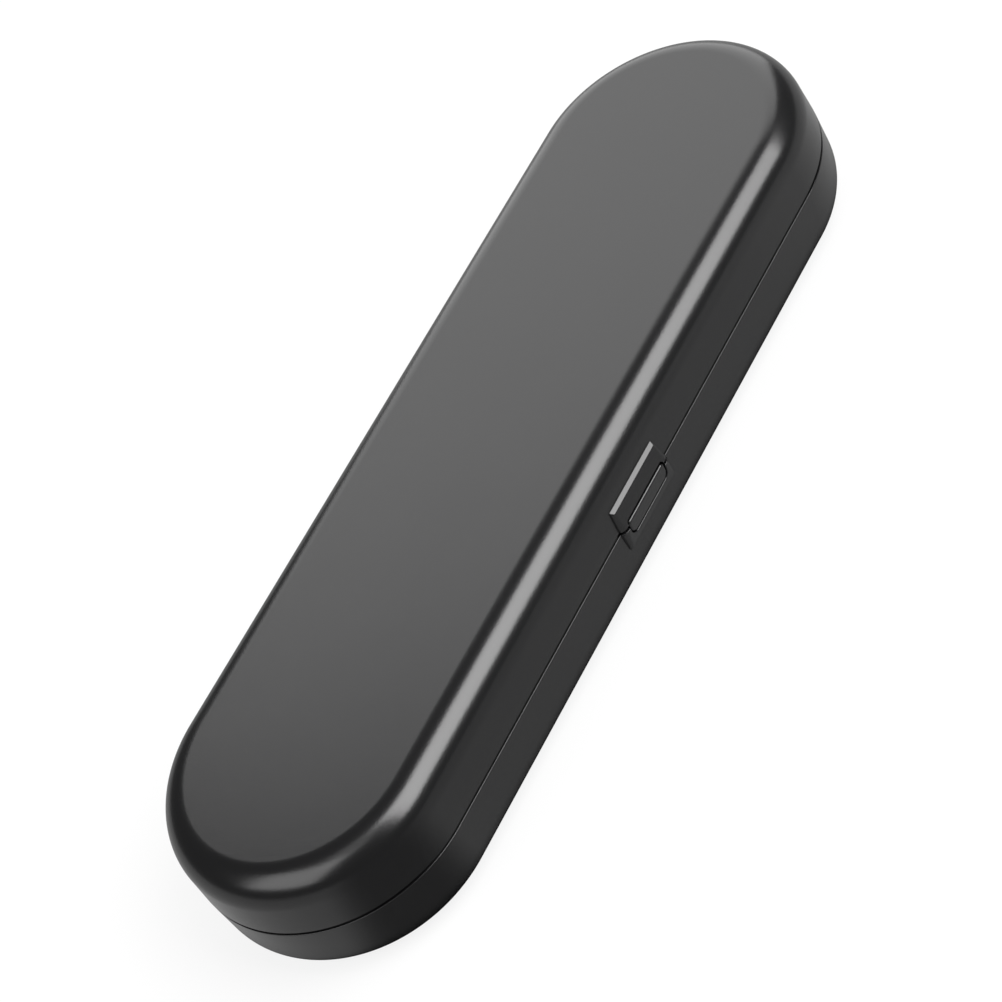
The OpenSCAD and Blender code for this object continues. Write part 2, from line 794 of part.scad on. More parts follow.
module keeper_screws() {
    head_v = seat_v + keeper_t;
    color(STEEL) in_frame() for (side = [-1, 1]) {
        translate([side * keeper_screw_x, -end_r + head_v, keeper_screw_z]) {
            rotate([-90, 0, 0]) pan_screw(head_v - wall / 2 - latch_play);
        }
    }
}

// The round lower half of the handle bay, from its axis down
module lower_half() {
    intersection() {
        children();
        translate([-body_l, -body_w, 0]) cube([2 * body_l, 2 * body_w, axis_z]);
    }
}

// The round upper half of the handle bay, from the liner's deck up
module upper_half() {
    intersection() {
        children();
        translate([-body_l, -body_w, liner_low]) cube([2 * body_l, 2 * body_w, body_h]);
    }
}

// Thin moulded tray: a deck with the handle bay, two brush head bays and a finger scoop
module base_tray() {
    color(INNER) in_frame() difference() {
        union() {
            translate([0, 0, deck_low]) linear_extrude(skin) deck_plan(tray_gap);
            lower_half() handle_form(skin);
            translate([0, 0, axis_z - eps]) linear_extrude(deck_top - axis_z + eps) handle_plan(skin);
            for (side = [-1, 1]) translate([0, 0, deck_top - head_depth - skin]) {
                linear_extrude(head_depth + skin) head_plan(side, skin);
            }
            translate([0, 0, deck_top - scoop_depth - skin]) {
                linear_extrude(scoop_depth + skin) scoop_plan(skin);
            }
        }
        handle_form(0);
        translate([0, 0, axis_z]) linear_extrude(deck_top) handle_plan(0);
        for (side = [-1, 1]) translate([0, 0, deck_top - head_depth]) {
            linear_extrude(head_depth + over) head_plan(side, 0);
        }
        translate([0, 0, deck_top - scoop_depth]) linear_extrude(scoop_depth + over) scoop_plan(0);
        for (p = posts) translate([p[0], p[1], deck_top]) csk_screw(screw_play);
        for (side = [-1, 1]) peg_bore(side);
    }
}

module tray_screws() {
    color(STEEL) in_frame() for (p = posts) translate([p[0], p[1], deck_top]) csk_screw(0);
}

// Thin moulded liner in the lid, with room for the upper halves of the handle and the heads
module lid_liner() {
    color(INNER) in_frame() difference() {
        union() {
            translate([0, 0, liner_low]) linear_extrude(skin) deck_plan(liner_gap);
            upper_half() handle_form(skin);
            for (side = [-1, 1]) translate([0, 0, liner_low]) {
                linear_extrude(head_rise + skin) head_plan(side, skin);
            }
        }
        handle_form(0);
        for (side = [-1, 1]) translate([0, 0, liner_low - over]) {
            linear_extrude(head_rise + over) head_plan(side, 0);
        }
        for (p = posts) translate([p[0], p[1], liner_low]) mirror([0, 0, 1]) csk_screw(screw_play);
    }
}

module liner_screws() {
    color(STEEL) in_frame() for (p = posts) {
        translate([p[0], p[1], liner_low]) mirror([0, 0, 1]) csk_screw(0);
    }
}

// A grip pad bent round the handle bay, from the middle x, between two heights
module grip_pad(x, low, high) {
    color(SOFT) in_frame() intersection() {
        translate([x - pad_w / 2, bay_y, axis_z]) rotate([0, 90, 0]) difference() {
            cylinder(h = pad_w, r = handle_r - seat_play);
            translate([0, 0, -over]) cylinder(h = pad_w + 2 * over, r = handle_r - pad_t);
        }
        translate([x - pad_w, bay_y - body_w / 2, low]) cube([2 * pad_w, body_w, high - low]);
    }
}

module handle_pad_foot() {
    grip_pad(foot_x + pad_foot_x, 0, axis_z - pad_drop);
}

module handle_pad_neck() {
    grip_pad(taper_x - pad_neck_x, 0, axis_z - pad_drop);
}

module lid_pad_foot() {
    grip_pad(foot_x + pad_foot_x, axis_z + pad_rise, body_h);
}

module lid_pad_neck() {
    grip_pad(taper_x - pad_neck_x, axis_z + pad_rise, body_h);
}

// Bore for the peg in the inner end wall of a brush head bay
module peg_bore(side) {
    translate([side * (well_in - skin - over), head_y, peg_z()]) rotate([0, side * 90, 0]) {
        cylinder(h = skin + 2 * over, r = peg_r + seat_play);
    }
}

// Height of the pegs: the flange stands clear of the bay's floor
function peg_z() = deck_top - head_depth + peg_flange_r + peg_lift;

// Peg with a flange inside the bay and a stub through its end wall
module brush_peg(side) {
    color(SHELL) in_frame() translate([side * well_in, head_y, peg_z()]) rotate([0, side * 90, 0]) {
        translate([0, 0, -skin - peg_stub]) cylinder(h = skin + peg_stub + peg_len - peg_tip, r = peg_r);
        translate([0, 0, seat_play]) cylinder(h = peg_flange_t, r = peg_flange_r);
        translate([0, 0, peg_len - peg_tip]) cylinder(h = peg_tip, r1 = peg_r, r2 = peg_r - peg_taper);
    }
}

module brush_peg_left() {
    brush_peg(-1);
}

module brush_peg_right() {
    brush_peg(1);
}

// Foam in the liner that holds a brush head down
module head_foam(side) {
    foam_w = head_w - 2 * foam_side;
    foam_x = well_in + head_len - foam_len - foam_end;
    color(SOFT) in_frame() translate([side > 0 ? foam_x : -foam_x - foam_len, head_y - foam_w / 2, 0]) {
        translate([0, 0, liner_low + head_rise - foam_t - seat_play]) cube([foam_len, foam_w, foam_t]);
    }
}

module head_foam_left() {
    head_foam(-1);
}

module head_foam_right() {
    head_foam(1);
}

base_shell();
lid_shell();
hinge_pin_left();
hinge_pin_right();
latch_button();
latch_spring();
latch_bracket();
latch_screws();
latch_keeper();
keeper_screws();
base_tray();
tray_screws();
lid_liner();
liner_screws();
handle_pad_foot();
handle_pad_neck();
lid_pad_foot();
lid_pad_neck();
brush_peg_left();
brush_peg_right();
head_foam_left();
head_foam_right();
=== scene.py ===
"""Looks of a travel case for an electric toothbrush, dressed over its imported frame.

The case is a long box with straight sides and round ends, in satin black moulded plastic. Two shells
close over a tray and a liner, and a press button at the front frees the lid. Drawings are in millimetres
and in the case's own axes: x along the case, y across it from its middle line, and z up from its foot.
They are turned into metres in the frame when a mesh is made.
"""

from __future__ import annotations

import logging
import math
from dataclasses import dataclass, field
from enum import Enum

import bmesh
import bpy
from mathutils import Matrix, Vector

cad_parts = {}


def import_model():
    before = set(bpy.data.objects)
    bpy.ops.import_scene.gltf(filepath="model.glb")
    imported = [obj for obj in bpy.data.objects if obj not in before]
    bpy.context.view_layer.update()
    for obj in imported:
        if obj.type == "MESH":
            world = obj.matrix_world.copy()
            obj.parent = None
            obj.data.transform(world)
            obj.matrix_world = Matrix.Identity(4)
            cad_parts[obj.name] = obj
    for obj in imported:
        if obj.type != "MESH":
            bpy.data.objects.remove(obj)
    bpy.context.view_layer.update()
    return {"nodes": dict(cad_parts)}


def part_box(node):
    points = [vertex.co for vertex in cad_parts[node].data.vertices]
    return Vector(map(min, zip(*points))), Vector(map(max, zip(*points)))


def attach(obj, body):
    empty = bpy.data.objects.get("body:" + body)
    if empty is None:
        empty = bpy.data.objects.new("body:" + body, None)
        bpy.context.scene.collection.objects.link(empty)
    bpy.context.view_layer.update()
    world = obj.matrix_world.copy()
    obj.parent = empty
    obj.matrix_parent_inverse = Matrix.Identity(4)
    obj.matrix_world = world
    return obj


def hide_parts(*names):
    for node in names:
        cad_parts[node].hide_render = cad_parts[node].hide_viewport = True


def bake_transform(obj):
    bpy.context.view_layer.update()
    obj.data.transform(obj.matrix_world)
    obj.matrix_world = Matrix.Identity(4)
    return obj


LOG = logging.getLogger("travel_case")

MM = 0.001
SHARP_ANGLE = math.radians(38)
FLAT_ANGLE = math.radians(0.4)
SAME_POINT = 0.002 * MM
QUARTER = [math.radians(30 * i) for i in range(4)]

Point = tuple[float, float]
Outline = list[Point]


class Body(Enum):
    """The bodies of the case that its pieces ride on."""

    BASE = "base"
    LID = "lid"
    BUTTON = "button"


class Slot(Enum):
    """The finishes that the record names."""

    SHELL = "shell"
    INNER = "inner"
    SOFT = "soft"
    FOAM = "foam"
    PEG = "peg"
    STEEL = "steel"


class Way(Enum):
    """Which way a shell's outside features stand from the seam."""

    UP = 1
    DOWN = -1


@dataclass(frozen=True)
class CaseSizes:
    """Sizes of the case in millimetres, with the overall ones read from the frame.

    Attributes:
        half: Half of the straight run between the round ends.
        end_r: Radius of the round ends, which is half the width of the shells.
        height: Height of the closed case.
        seam_z: Height of the seam, where the hinge's axis lies too.
        hinge_y: Distance of the hinge's axis behind the middle line.
        mid_y: Where the middle line lies in the frame.
        wall: Thickness of the shells' walls.
        top_round: Rounding between the lid's top and its side.
        bottom_round: Rounding between the base's bottom and its side.
        lid_lean: How far the lid's side leans in up to its rounding.
        base_lean: How far the base's side leans in down to its rounding.
        seam_gap: Gap between the rims of lid and base.
        rim_round: Rounding of the base's outer edge.
        reveal: How far the base's outer edge lies below its rim, which shows as a dark line.
        reveal_depth: How deep that step goes into the wall.
        lid_edge: Rounding of the lid's outer edge.
        lip_t: Thickness of the base's lip.
        lip_h: Height of the lip above the base's rim.
        lip_play: Play of the lip inside the lid.
        lip_outer: Chamfer at the top of the lip's outer side.
        lip_inner: Chamfer at the top of the lip's inner side.
        step_edge: Rounding where the lid's rim turns into the step for the lip.
        rest_play: Play above the lip.
        tray_gap: Gap between the tray and the wall.
        handle_r: Radius of the handle bay.
        handle_y: How far the bay's axis lies behind the middle line.
    """

    half: float
    end_r: float
    height: float
    seam_z: float
    hinge_y: float
    mid_y: float
    wall: float = 1.8
    top_round: float = 7.3
    bottom_round: float = 8.6
    lid_lean: float = 0.35
    base_lean: float = 0.1
    seam_gap: float = 0.35
    rim_round: float = 0.15
    reveal: float = 0.5
    reveal_depth: float = 0.6
    lid_edge: float = 0.06
    lip_t: float = 0.8
    lip_h: float = 1.2
    lip_play: float = 0.2
    lip_outer: float = 0.2
    lip_inner: float = 0.15
    step_edge: float = 0.1
    rest_play: float = 0.05
    tray_gap: float = 0.3
    handle_r: float = 13.05
    handle_y: float = 14.0

    @property
    def base_rim(self) -> float:
        """Height of the base's rim."""
        return self.seam_z - self.seam_gap / 2

    @property
    def lid_rim(self) -> float:
        """Height of the lid's rim."""
        return self.seam_z + self.seam_gap / 2

    @property
    def in_r(self) -> float:
        """Inner radius of the round ends."""
        return self.end_r - self.wall

    @property
    def axis_z(self) -> float:
        """Height of the axis of the handle bay."""
        return self.height / 2

    @classmethod
    def from_frame(cls) -> CaseSizes:
        """Reads the overall sizes from the frame's own pieces.

        Returns:
            The sizes of the case.
        """
        lid_low, lid_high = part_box("lid_shell")
        tray_low, tray_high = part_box("base_tray")
        pin_low, pin_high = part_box("hinge_pin_left")
        mid_y = (tray_low.y + tray_high.y) / 2 / MM
        end_r = (tray_high.y - tray_low.y) / 2 / MM + cls.tray_gap + cls.wall
        return cls(
            half=(lid_high.x - lid_low.x) / 2 / MM - end_r,
            end_r=end_r,
            height=lid_high.z / MM,
            seam_z=(pin_low.z + pin_high.z) / 2 / MM,
            hinge_y=(pin_low.y + pin_high.y) / 2 / MM - mid_y,
            mid_y=mid_y,
        )


@dataclass(frozen=True)
class LatchSizes:
    """Sizes of the latch in millimetres. Depths are measured inwards from the front wall's outer face.

    Attributes:
        half: Half of the pad's width at the seam.
        taper: How much narrower each side of the lid's pad is at its top.
        rise: Height of the pad's top above the seam.
        ledge_tilt: Slope of the ledge along the pad's top, in degrees.
        drop: Depth of the pad's foot below the seam.
        proud: How far the pad stands out from the wall.
        slope: How much less it stands out at the foot of its ledge.
        fall: How much less it stands out at its own foot.
        round: Rounding of its corners and of its foot.
        window_half: Half of the window's width, and of the notch's.
        window_drop: Depth of the window below the seam.
        window_round: Rounding of the window's lower corners.
        notch_rise: Height of the notch above the lid's rim.
        notch_round: Rounding of the notch's corners.
        face_drop: How far the button's top edge stays below the notch's.
        play: Play round the button.
        face_proud: How far the button's top edge stands out from the pad.
        face_lean: How far the button's face leans back down to its foot.
        face_edge: Rounding of the face's edges.
        face_root: How far the face runs into the flange.
        flange_over: How far the flange reaches past the window at each side.
        flange_drop: How far it reaches below the window.
        flange_v: Depth of its front.
        flange_t: Its thickness.
        leaf_v: Depth of the leaf's front.
        leaf_t: Thickness of the leaf.
        leaf_half: Half of the leaf's width.
        hook_half: Half of the hook's width.
        hook_v: Depth of the hook's tip.
        hook_rise: Height of the hook above the seam.
        clamp_low: Height of the clamp's foot.
        clamp_h: Height of the clamp.
        screw_x: Distance of the bracket's screws from the middle.
        screw_hole: Radius of the leaf's holes for them.
        zone_half: Half of the run over which the base has no lip.
        edge: Rounding of the pad's edges.
    """

    half: float = 10.2
    taper: float = 0.8
    rise: float = 5.45
    ledge_tilt: float = 33.0
    drop: float = 6.2
    proud: float = 1.3
    slope: float = 0.7
    fall: float = 0.45
    round: float = 1.6
    window_half: float = 8.0
    window_drop: float = 3.55
    window_round: float = 1.8
    notch_rise: float = 1.1
    notch_round: float = 0.9
    face_drop: float = 0.5
    play: float = 0.2
    face_proud: float = 0.1
    face_lean: float = 0.45
    face_edge: float = 0.5
    face_root: float = 0.3
    flange_over: float = 1.2
    flange_drop: float = 1.3
    flange_v: float = 1.95
    flange_t: float = 1.0
    leaf_v: float = 4.1
    leaf_t: float = 0.4
    leaf_half: float = 6.2
    hook_half: float = 4.0
    hook_v: float = 2.75
    hook_rise: float = 2.5
    clamp_low: float = 4.4
    clamp_h: float = 5.4
    screw_x: float = 4.4
    screw_hole: float = 1.05
    zone_half: float = 12.2
    edge: float = 0.22

    @property
    def front(self) -> float:
        """How far the button's top edge stands out from the wall."""
        return self.proud + self.face_proud


# Shapes in the plane


def arc(centre: Point, radius: float, start: float, end: float, steps: int) -> Outline:
    """Points along an arc.

    Args:
        centre: Centre of the arc.
        radius: Its radius.
        start: Angle of its first point, in degrees.
        end: Angle of its last point, in degrees.
        steps: How many steps it takes.

    Returns:
        The points, with both ends.
    """
    turns = [math.radians(start + (end - start) * i / steps) for i in range(steps + 1)]
    return [(centre[0] + radius * math.cos(t), centre[1] + radius * math.sin(t)) for t in turns]


def circle(centre: Point, radius: float, count: int) -> Outline:
    """Points round a whole circle, of which none comes twice.

    Args:
        centre: Its centre.
        radius: Its radius.
        count: How many points it has.

    Returns:
        The points.
    """
    return arc(centre, radius, 0, 360 - 360 / count, count - 1)


def rounded(outline: Outline, radius: float, steps: int = 4) -> Outline:
    """Rounds every corner of a closed outline.

    Args:
        outline: The corners, in order.
        radius: Radius of the rounding, less where an edge is short.
        steps: Steps of each rounding.

    Returns:
        The rounded outline.
    """
    made: Outline = []
    count = len(outline)
    for i, corner in enumerate(outline):
        here = Vector(corner)
        back = Vector(outline[i - 1]) - here
        ahead = Vector(outline[(i + 1) % count]) - here
        opening = back.angle(ahead)
        reach = min(radius / math.tan(opening / 2), back.length * 0.45, ahead.length * 0.45)
        start = here + back.normalized() * reach
        end = here + ahead.normalized() * reach
        for step in range(steps + 1):
            t = step / steps
            point = start * (1 - t) ** 2 + here * 2 * t * (1 - t) + end * t**2
            made.append((point.x, point.y))
    return made


# Meshes


def in_frame(points: list[Vector], sizes: CaseSizes) -> list[Vector]:
    """Carries points from the case's own axes, in millimetres, into the frame, in metres."""
    return [Vector((p[0], p[1] + sizes.mid_y, p[2])) * MM for p in points]


def new_object(name: str, mesh: bpy.types.Mesh) -> bpy.types.Object:
    """Makes an object at the origin and links it to the scene.

    Args:
        name: Name of the object.
        mesh: Its mesh.

    Returns:
        The object.
    """
    made = bpy.data.objects.new(name, mesh)
    bpy.context.scene.collection.objects.link(made)
    return made


def mesh_of(name: str, points: list[Vector], faces: list[tuple[int, ...]]) -> bpy.types.Object:
    """Makes an object from points and faces, with its faces turned outwards.

    Args:
        name: Name of the object.
        points: Its points, in metres.
        faces: Its faces, as indices of the points.

    Returns:
        The object, at the origin.
    """
    shape = bmesh.new()
    for point in points:
        shape.verts.new(point)
    shape.verts.ensure_lookup_table()
    for face in faces:
        shape.faces.new([shape.verts[i] for i in face])
    bmesh.ops.recalc_face_normals(shape, faces=shape.faces)
    mesh = bpy.data.meshes.new(name)
    shape.to_mesh(mesh)
    shape.free()
    return new_object(name, mesh)


def prism(name: str, rings: list[list[Vector]]) -> bpy.types.Object:
    """Joins closed rings of as many points each, one after the other, and closes both ends.

    Args:
        name: Name of the object.
        rings: The rings, in order.

    Returns:
        The solid.
    """
    count = len(rings[0])
    points = [p for ring in rings for p in ring]
    faces: list[tuple[int, ...]] = []
    for r in range(len(rings) - 1):
        for i in range(count):
            j = (i + 1) % count
            a, b = r * count, (r + 1) * count
            faces.append((a + i, a + j, b + j, b + i))
    faces.append(tuple(range(count)))
    faces.append(tuple(range((len(rings) - 1) * count, len(rings) * count)))
    return mesh_of(name, points, faces)


def along_front(name: str, outline: Outline, x0: float, x1: float, sizes: CaseSizes) -> bpy.types.Object:
    """Extrudes a drawing of depth and height along the front wall.

    Args:
        name: Name of the object.
        outline: Depth behind the front wall's outer face, and height.
        x0: Where it starts.
        x1: Where it ends.
        sizes: Sizes of the case.

    Returns:
        The solid.
    """
    rings = [in_frame([Vector((x, v - sizes.end_r, z)) for v, z in outline], sizes) for x in (x0, x1)]
    return prism(name, rings)


def through_front(name: str, outline: Outline, v0: float, v1: float, sizes: CaseSizes) -> bpy.types.Object:
    """Extrudes a drawing of width and height through the front wall.

    Args:
        name: Name of the object.
        outline: Place along the case, and height.
        v0: Depth where it starts.
        v1: Depth where it ends.
        sizes: Sizes of the case.

    Returns:
        The solid.
    """
    rings = [in_frame([Vector((x, v - sizes.end_r, z)) for x, z in outline], sizes) for v in (v0, v1)]
    return prism(name, rings)


def turned(name: str, profile: Outline, steps: int, place: Matrix) -> bpy.types.Object:
    """Turns a profile of radius and height about its own axis.

    Args:
        name: Name of the object.
        profile: Points of radius and height, whose first and last radius is 0.
        steps: Steps of the turn.
        place: Carries the turned form into the frame.

    Returns:
        The solid.
    """
    points = [place @ Vector((0, 0, profile[0][1])), place @ Vector((0, 0, profile[-1][1]))]
    inner = profile[1:-1]
    for i in range(steps):
        turn = 2 * math.pi * i / steps
        points += [place @ Vector((r * math.cos(turn), r * math.sin(turn), z)) for r, z in inner]
    faces: list[tuple[int, ...]] = []
    count = len(inner)
    for i in range(steps):
        a = 2 + i * count
        b = 2 + (i + 1) % steps * count
        faces += [(a + k, a + k + 1, b + k + 1, b + k) for k in range(count - 1)]
        faces += [(0, a, b), (1, b + count - 1, a + count - 1)]
    return mesh_of(name, points, faces)


def baked(piece: bpy.types.Object) -> bpy.types.Object:
    """Applies a piece's modifiers to its mesh.

    Args:
        piece: The piece, with its modifiers.

    Returns:
        The same piece, with a plain mesh.
    """
    bpy.context.view_layer.update()
    graph = bpy.context.evaluated_depsgraph_get()
    made = bpy.data.meshes.new_from_object(piece.evaluated_get(graph), depsgraph=graph)
    piece.modifiers.clear()
    old = piece.data
    piece.data = made
    if old.users == 0:
        bpy.data.meshes.remove(old)
    return piece


def carve(piece: bpy.types.Object, tool: bpy.types.Object, operation: str = "DIFFERENCE") -> bpy.types.Object:
    """Cuts a piece with a tool, or joins the two, and removes the tool.

    Args:
        piece: The piece that stays.
        tool: The solid that cuts it or is joined to it.
        operation: DIFFERENCE or UNION.

    Returns:
        The piece.
    """
    step = piece.modifiers.new("carve", "BOOLEAN")
    step.operation = operation
    step.object = tool
    step.solver = "EXACT"
    baked(piece)
    bpy.data.objects.remove(tool)
    return piece


def soften(
    piece: bpy.types.Object, width: float, steps: int = 2, angle: float = 35, clamp: bool = True
) -> bpy.types.Object:
    """Rounds the sharp edges of a piece.

    Args:
        piece: The piece.
        width: Width of the rounding, in millimetres.
        steps: Steps across the rounding.
        angle: Least angle of an edge that is rounded, in degrees.
        clamp: Whether short edges hold the rounding back.

    Returns:
        The piece.
    """
    step = piece.modifiers.new("soften", "BEVEL")
    step.width = width * MM
    step.segments = steps
    step.limit_method = "ANGLE"
    step.angle_limit = math.radians(angle)
    step.use_clamp_overlap = clamp
    step.harden_normals = False
    return baked(piece)


def shade(piece: bpy.types.Object) -> bpy.types.Object:
    """Shades a piece smoothly, with its sharp edges kept and its wide faces flat.

    Args:
        piece: The piece.

    Returns:
        The piece.
    """
    piece.data.polygons.foreach_set("use_smooth", [True] * len(piece.data.polygons))
    piece.data.set_sharp_from_angle(angle=SHARP_ANGLE)
    step = piece.modifiers.new("even_shading", "WEIGHTED_NORMAL")
    step.weight = 50
    step.keep_sharp = True
    return baked(piece)


def joined(name: str, pieces: list[bpy.types.Object]) -> bpy.types.Object:
    """Joins the meshes of several pieces into one object.

    Args:
        name: Name of the joined object.
        pieces: The pieces, which are removed.

    Returns:
        The joined object.
    """
    shape = bmesh.new()
    for piece in pieces:
        shape.from_mesh(piece.data)
        bpy.data.objects.remove(piece)
    mesh = bpy.data.meshes.new(name)
    shape.to_mesh(mesh)
    shape.free()
    return new_object(name, mesh)


def merged_copy(name: str, node: bpy.types.Object) -> bpy.types.Object:
    """Copies a node's mesh into a new object, with its loose triangles merged into whole faces.

    Args:
        name: Name of the new object.
        node: The node, which stays as it is.

    Returns:
        The copy.
    """
    shape = bmesh.new()
    shape.from_mesh(node.data)
    bmesh.ops.remove_doubles(shape, verts=shape.verts, dist=SAME_POINT)
    bmesh.ops.dissolve_limit(
        shape,
        angle_limit=FLAT_ANGLE,
        verts=shape.verts,
        edges=shape.edges,
        use_dissolve_boundaries=False,
    )
    mesh = bpy.data.meshes.new(name)
    shape.to_mesh(mesh)
    shape.free()
    return new_object(name, mesh)


# Node trees


class Tree:
    """A node tree that is built a node at a time."""

    def __init__(self, tree: bpy.types.NodeTree) -> None:
        """Starts on an empty tree."""
        self.tree = tree

    def node(self, kind: str, settings: dict | None = None, inputs: dict | None = None) -> bpy.types.Node:
        """Adds a node.

        Args:
            kind: Type of the node.
            settings: Values of its own properties.
            inputs: A value, or a socket to link from, for each named or numbered input.

        Returns:
            The node.
        """
        made = self.tree.nodes.new(kind)
        for key, value in (settings or {}).items():
            setattr(made, key, value)
        for key, value in (inputs or {}).items():
            if isinstance(value, bpy.types.NodeSocket):
                self.tree.links.new(value, made.inputs[key])
            else:
                made.inputs[key].default_value = value
        return made

    def math(self, operation: str, first: object, second: object = 0.0) -> bpy.types.NodeSocket:
        """Adds a Math node and returns its result."""
        return self.node("ShaderNodeMath", {"operation": operation}, {0: first, 1: second}).outputs[0]


def new_geometry_tree(name: str, sockets: dict[str, str]) -> tuple[Tree, bpy.types.Node]:
    """Starts a Geometry Nodes tree with named inputs.

    Args:
        name: Name of the tree.
        sockets: Type of socket of each input, after the geometry.

    Returns:
        The tree and its Group Input node.
    """
    tree = bpy.data.node_groups.new(name, "GeometryNodeTree")
    tree.interface.new_socket(name="Geometry", in_out="INPUT", socket_type="NodeSocketGeometry")
    for label, kind in sockets.items():
        tree.interface.new_socket(name=label, in_out="INPUT", socket_type=kind)
    tree.interface.new_socket(name="Geometry", in_out="OUTPUT", socket_type="NodeSocketGeometry")
    made = Tree(tree)
    return made, made.node("NodeGroupInput")


def end_geometry_tree(
    made: Tree, source: bpy.types.Node, geometry: bpy.types.NodeSocket
) -> bpy.types.NodeTree:
    """Ends a tree in Realize Instances and Set Material.

    Args:
        made: The tree.
        source: Its Group Input node, which has a Material.
        geometry: What the tree has made.

    Returns:
        The node tree.
    """
    real = made.node("GeometryNodeRealizeInstances", inputs={"Geometry": geometry})
    smooth = made.node("GeometryNodeSetShadeSmooth", inputs={"Geometry": real.outputs[0]})
    painted = made.node(
        "GeometryNodeSetMaterial",
        inputs={"Geometry": smooth.outputs[0], "Material": source.outputs["Material"]},
    )
    made.node("NodeGroupOutput", inputs={0: painted.outputs[0]})
    return made.tree


def grown(piece: bpy.types.Object, tree: bpy.types.NodeTree, values: dict[str, object]) -> bpy.types.Object:
    """Runs a Geometry Nodes tree on a piece and bakes it.

    Args:
        piece: The piece that the tree starts from.
        tree: The tree.
        values: A value for each named input.

    Returns:
        The piece, with the tree's result as its plain mesh.
    """
    step = piece.modifiers.new("grow", "NODES")
    step.node_group = tree
    for item in tree.interface.items_tree:
        if item.item_type == "SOCKET" and item.in_out == "INPUT" and item.name in values:
            step[item.identifier] = values[item.name]
    return baked(piece)


class Sweep:
    """Sweeps a half profile round a plan with straight sides and round ends, and closes its two faces."""

    FACETS = 256

    def __init__(self) -> None:
        """Builds the tree once for every shell."""
        self.tree = self._build()

    def _build(self) -> bpy.types.NodeTree:
        """Builds the tree.

        Returns:
            The node tree. Its base geometry is the profile's line, in width from the path and height.
        """
        made, source = new_geometry_tree(
            "case_sweep",
            {
                "Half Straight": "NodeSocketFloat",
                "End Radius": "NodeSocketFloat",
                "First Radius": "NodeSocketFloat",
                "First Height": "NodeSocketFloat",
                "Last Radius": "NodeSocketFloat",
                "Last Height": "NodeSocketFloat",
                "Middle": "NodeSocketFloat",
                "Material": "NodeSocketMaterial",
            },
        )
        path = self._stadium(made, source, source.outputs["End Radius"])
        normal = made.node("GeometryNodeSetCurveNormal", {"mode": "Z_UP"}, {"Curve": path})
        line = made.node("GeometryNodeMeshToCurve", inputs={"Mesh": source.outputs["Geometry"]})
        wall = made.node(
            "GeometryNodeCurveToMesh",
            inputs={"Curve": normal.outputs[0], "Profile Curve": line.outputs[0]},
        )
        sheets = [wall.outputs[0]]
        for end in ("First", "Last"):
            rim = self._stadium(made, source, source.outputs[f"{end} Radius"])
            fill = made.node("GeometryNodeFillCurve", {"mode": "NGONS"}, {"Curve": rim})
            lift = made.node("ShaderNodeCombineXYZ", inputs={"Z": source.outputs[f"{end} Height"]})
            placed = made.node(
                "GeometryNodeTransform",
                inputs={"Geometry": fill.outputs[0], "Translation": lift.outputs[0]},
            )
            sheets.append(placed.outputs[0])
        whole = made.node("GeometryNodeJoinGeometry")
        for sheet in sheets:
            made.tree.links.new(sheet, whole.inputs[0])
        closed = made.node(
            "GeometryNodeMergeByDistance",
            inputs={"Geometry": whole.outputs[0], "Distance": 0.01 * MM},
        )
        shift = made.node("ShaderNodeCombineXYZ", inputs={"Y": source.outputs["Middle"]})
        seated = made.node(
            "GeometryNodeTransform",
            inputs={"Geometry": closed.outputs[0], "Translation": shift.outputs[0]},
        )
        return end_geometry_tree(made, source, seated.outputs[0])

    def _stadium(
        self, made: Tree, source: bpy.types.Node, radius: bpy.types.NodeSocket
    ) -> bpy.types.NodeSocket:
        """Adds a circle whose halves are drawn apart along x.

        Args:
            made: The tree.
            source: Its Group Input node.
            radius: Radius of the round ends.

        Returns:
            The curve.
        """
        ring = made.node(
            "GeometryNodeCurvePrimitiveCircle",
            inputs={"Resolution": self.FACETS, "Radius": radius},
        )
        half_step = math.pi / self.FACETS
        turned_ring = made.node(
            "GeometryNodeTransform",
            inputs={"Geometry": ring.outputs[0], "Rotation": (0, 0, half_step)},
        )
        place = made.node("GeometryNodeInputPosition")
        parts = made.node("ShaderNodeSeparateXYZ", inputs={0: place.outputs[0]})
        away = made.math("MULTIPLY", made.math("SIGN", parts.outputs[0]), source.outputs["Half Straight"])
        offset = made.node("ShaderNodeCombineXYZ", inputs={"X": away})
        moved = made.node(
            "GeometryNodeSetPosition",
            inputs={"Geometry": turned_ring.outputs[0], "Offset": offset.outputs[0]},
        )
        return moved.outputs[0]

    def shell(
        self, name: str, profile: Outline, sizes: CaseSizes, paint: bpy.types.Material
    ) -> bpy.types.Object:
        """Sweeps one profile.

        Args:
            name: Name of the piece.
            profile: Radius and height of each point, from the outer face's edge to the inner face's.
            sizes: Sizes of the case.
            paint: Its material.

        Returns:
            The closed shell.
        """
        mesh = bpy.data.meshes.new(name)
        points = [((r - sizes.end_r) * MM, -z * MM, 0) for r, z in profile]
        mesh.from_pydata(points, [(i, i + 1) for i in range(len(points) - 1)], [])
        piece = grown(
            new_object(name, mesh),
            self.tree,
            {
                "Half Straight": sizes.half * MM,
                "End Radius": sizes.end_r * MM,
                "First Radius": profile[0][0] * MM,
                "First Height": profile[0][1] * MM,
                "Last Radius": profile[-1][0] * MM,
                "Last Height": profile[-1][1] * MM,
                "Middle": sizes.mid_y * MM,
                "Material": paint,
            },
        )
        shape = bmesh.new()
        shape.from_mesh(piece.data)
        bmesh.ops.recalc_face_normals(shape, faces=shape.faces)
        shape.to_mesh(piece.data)
        shape.free()
        return piece


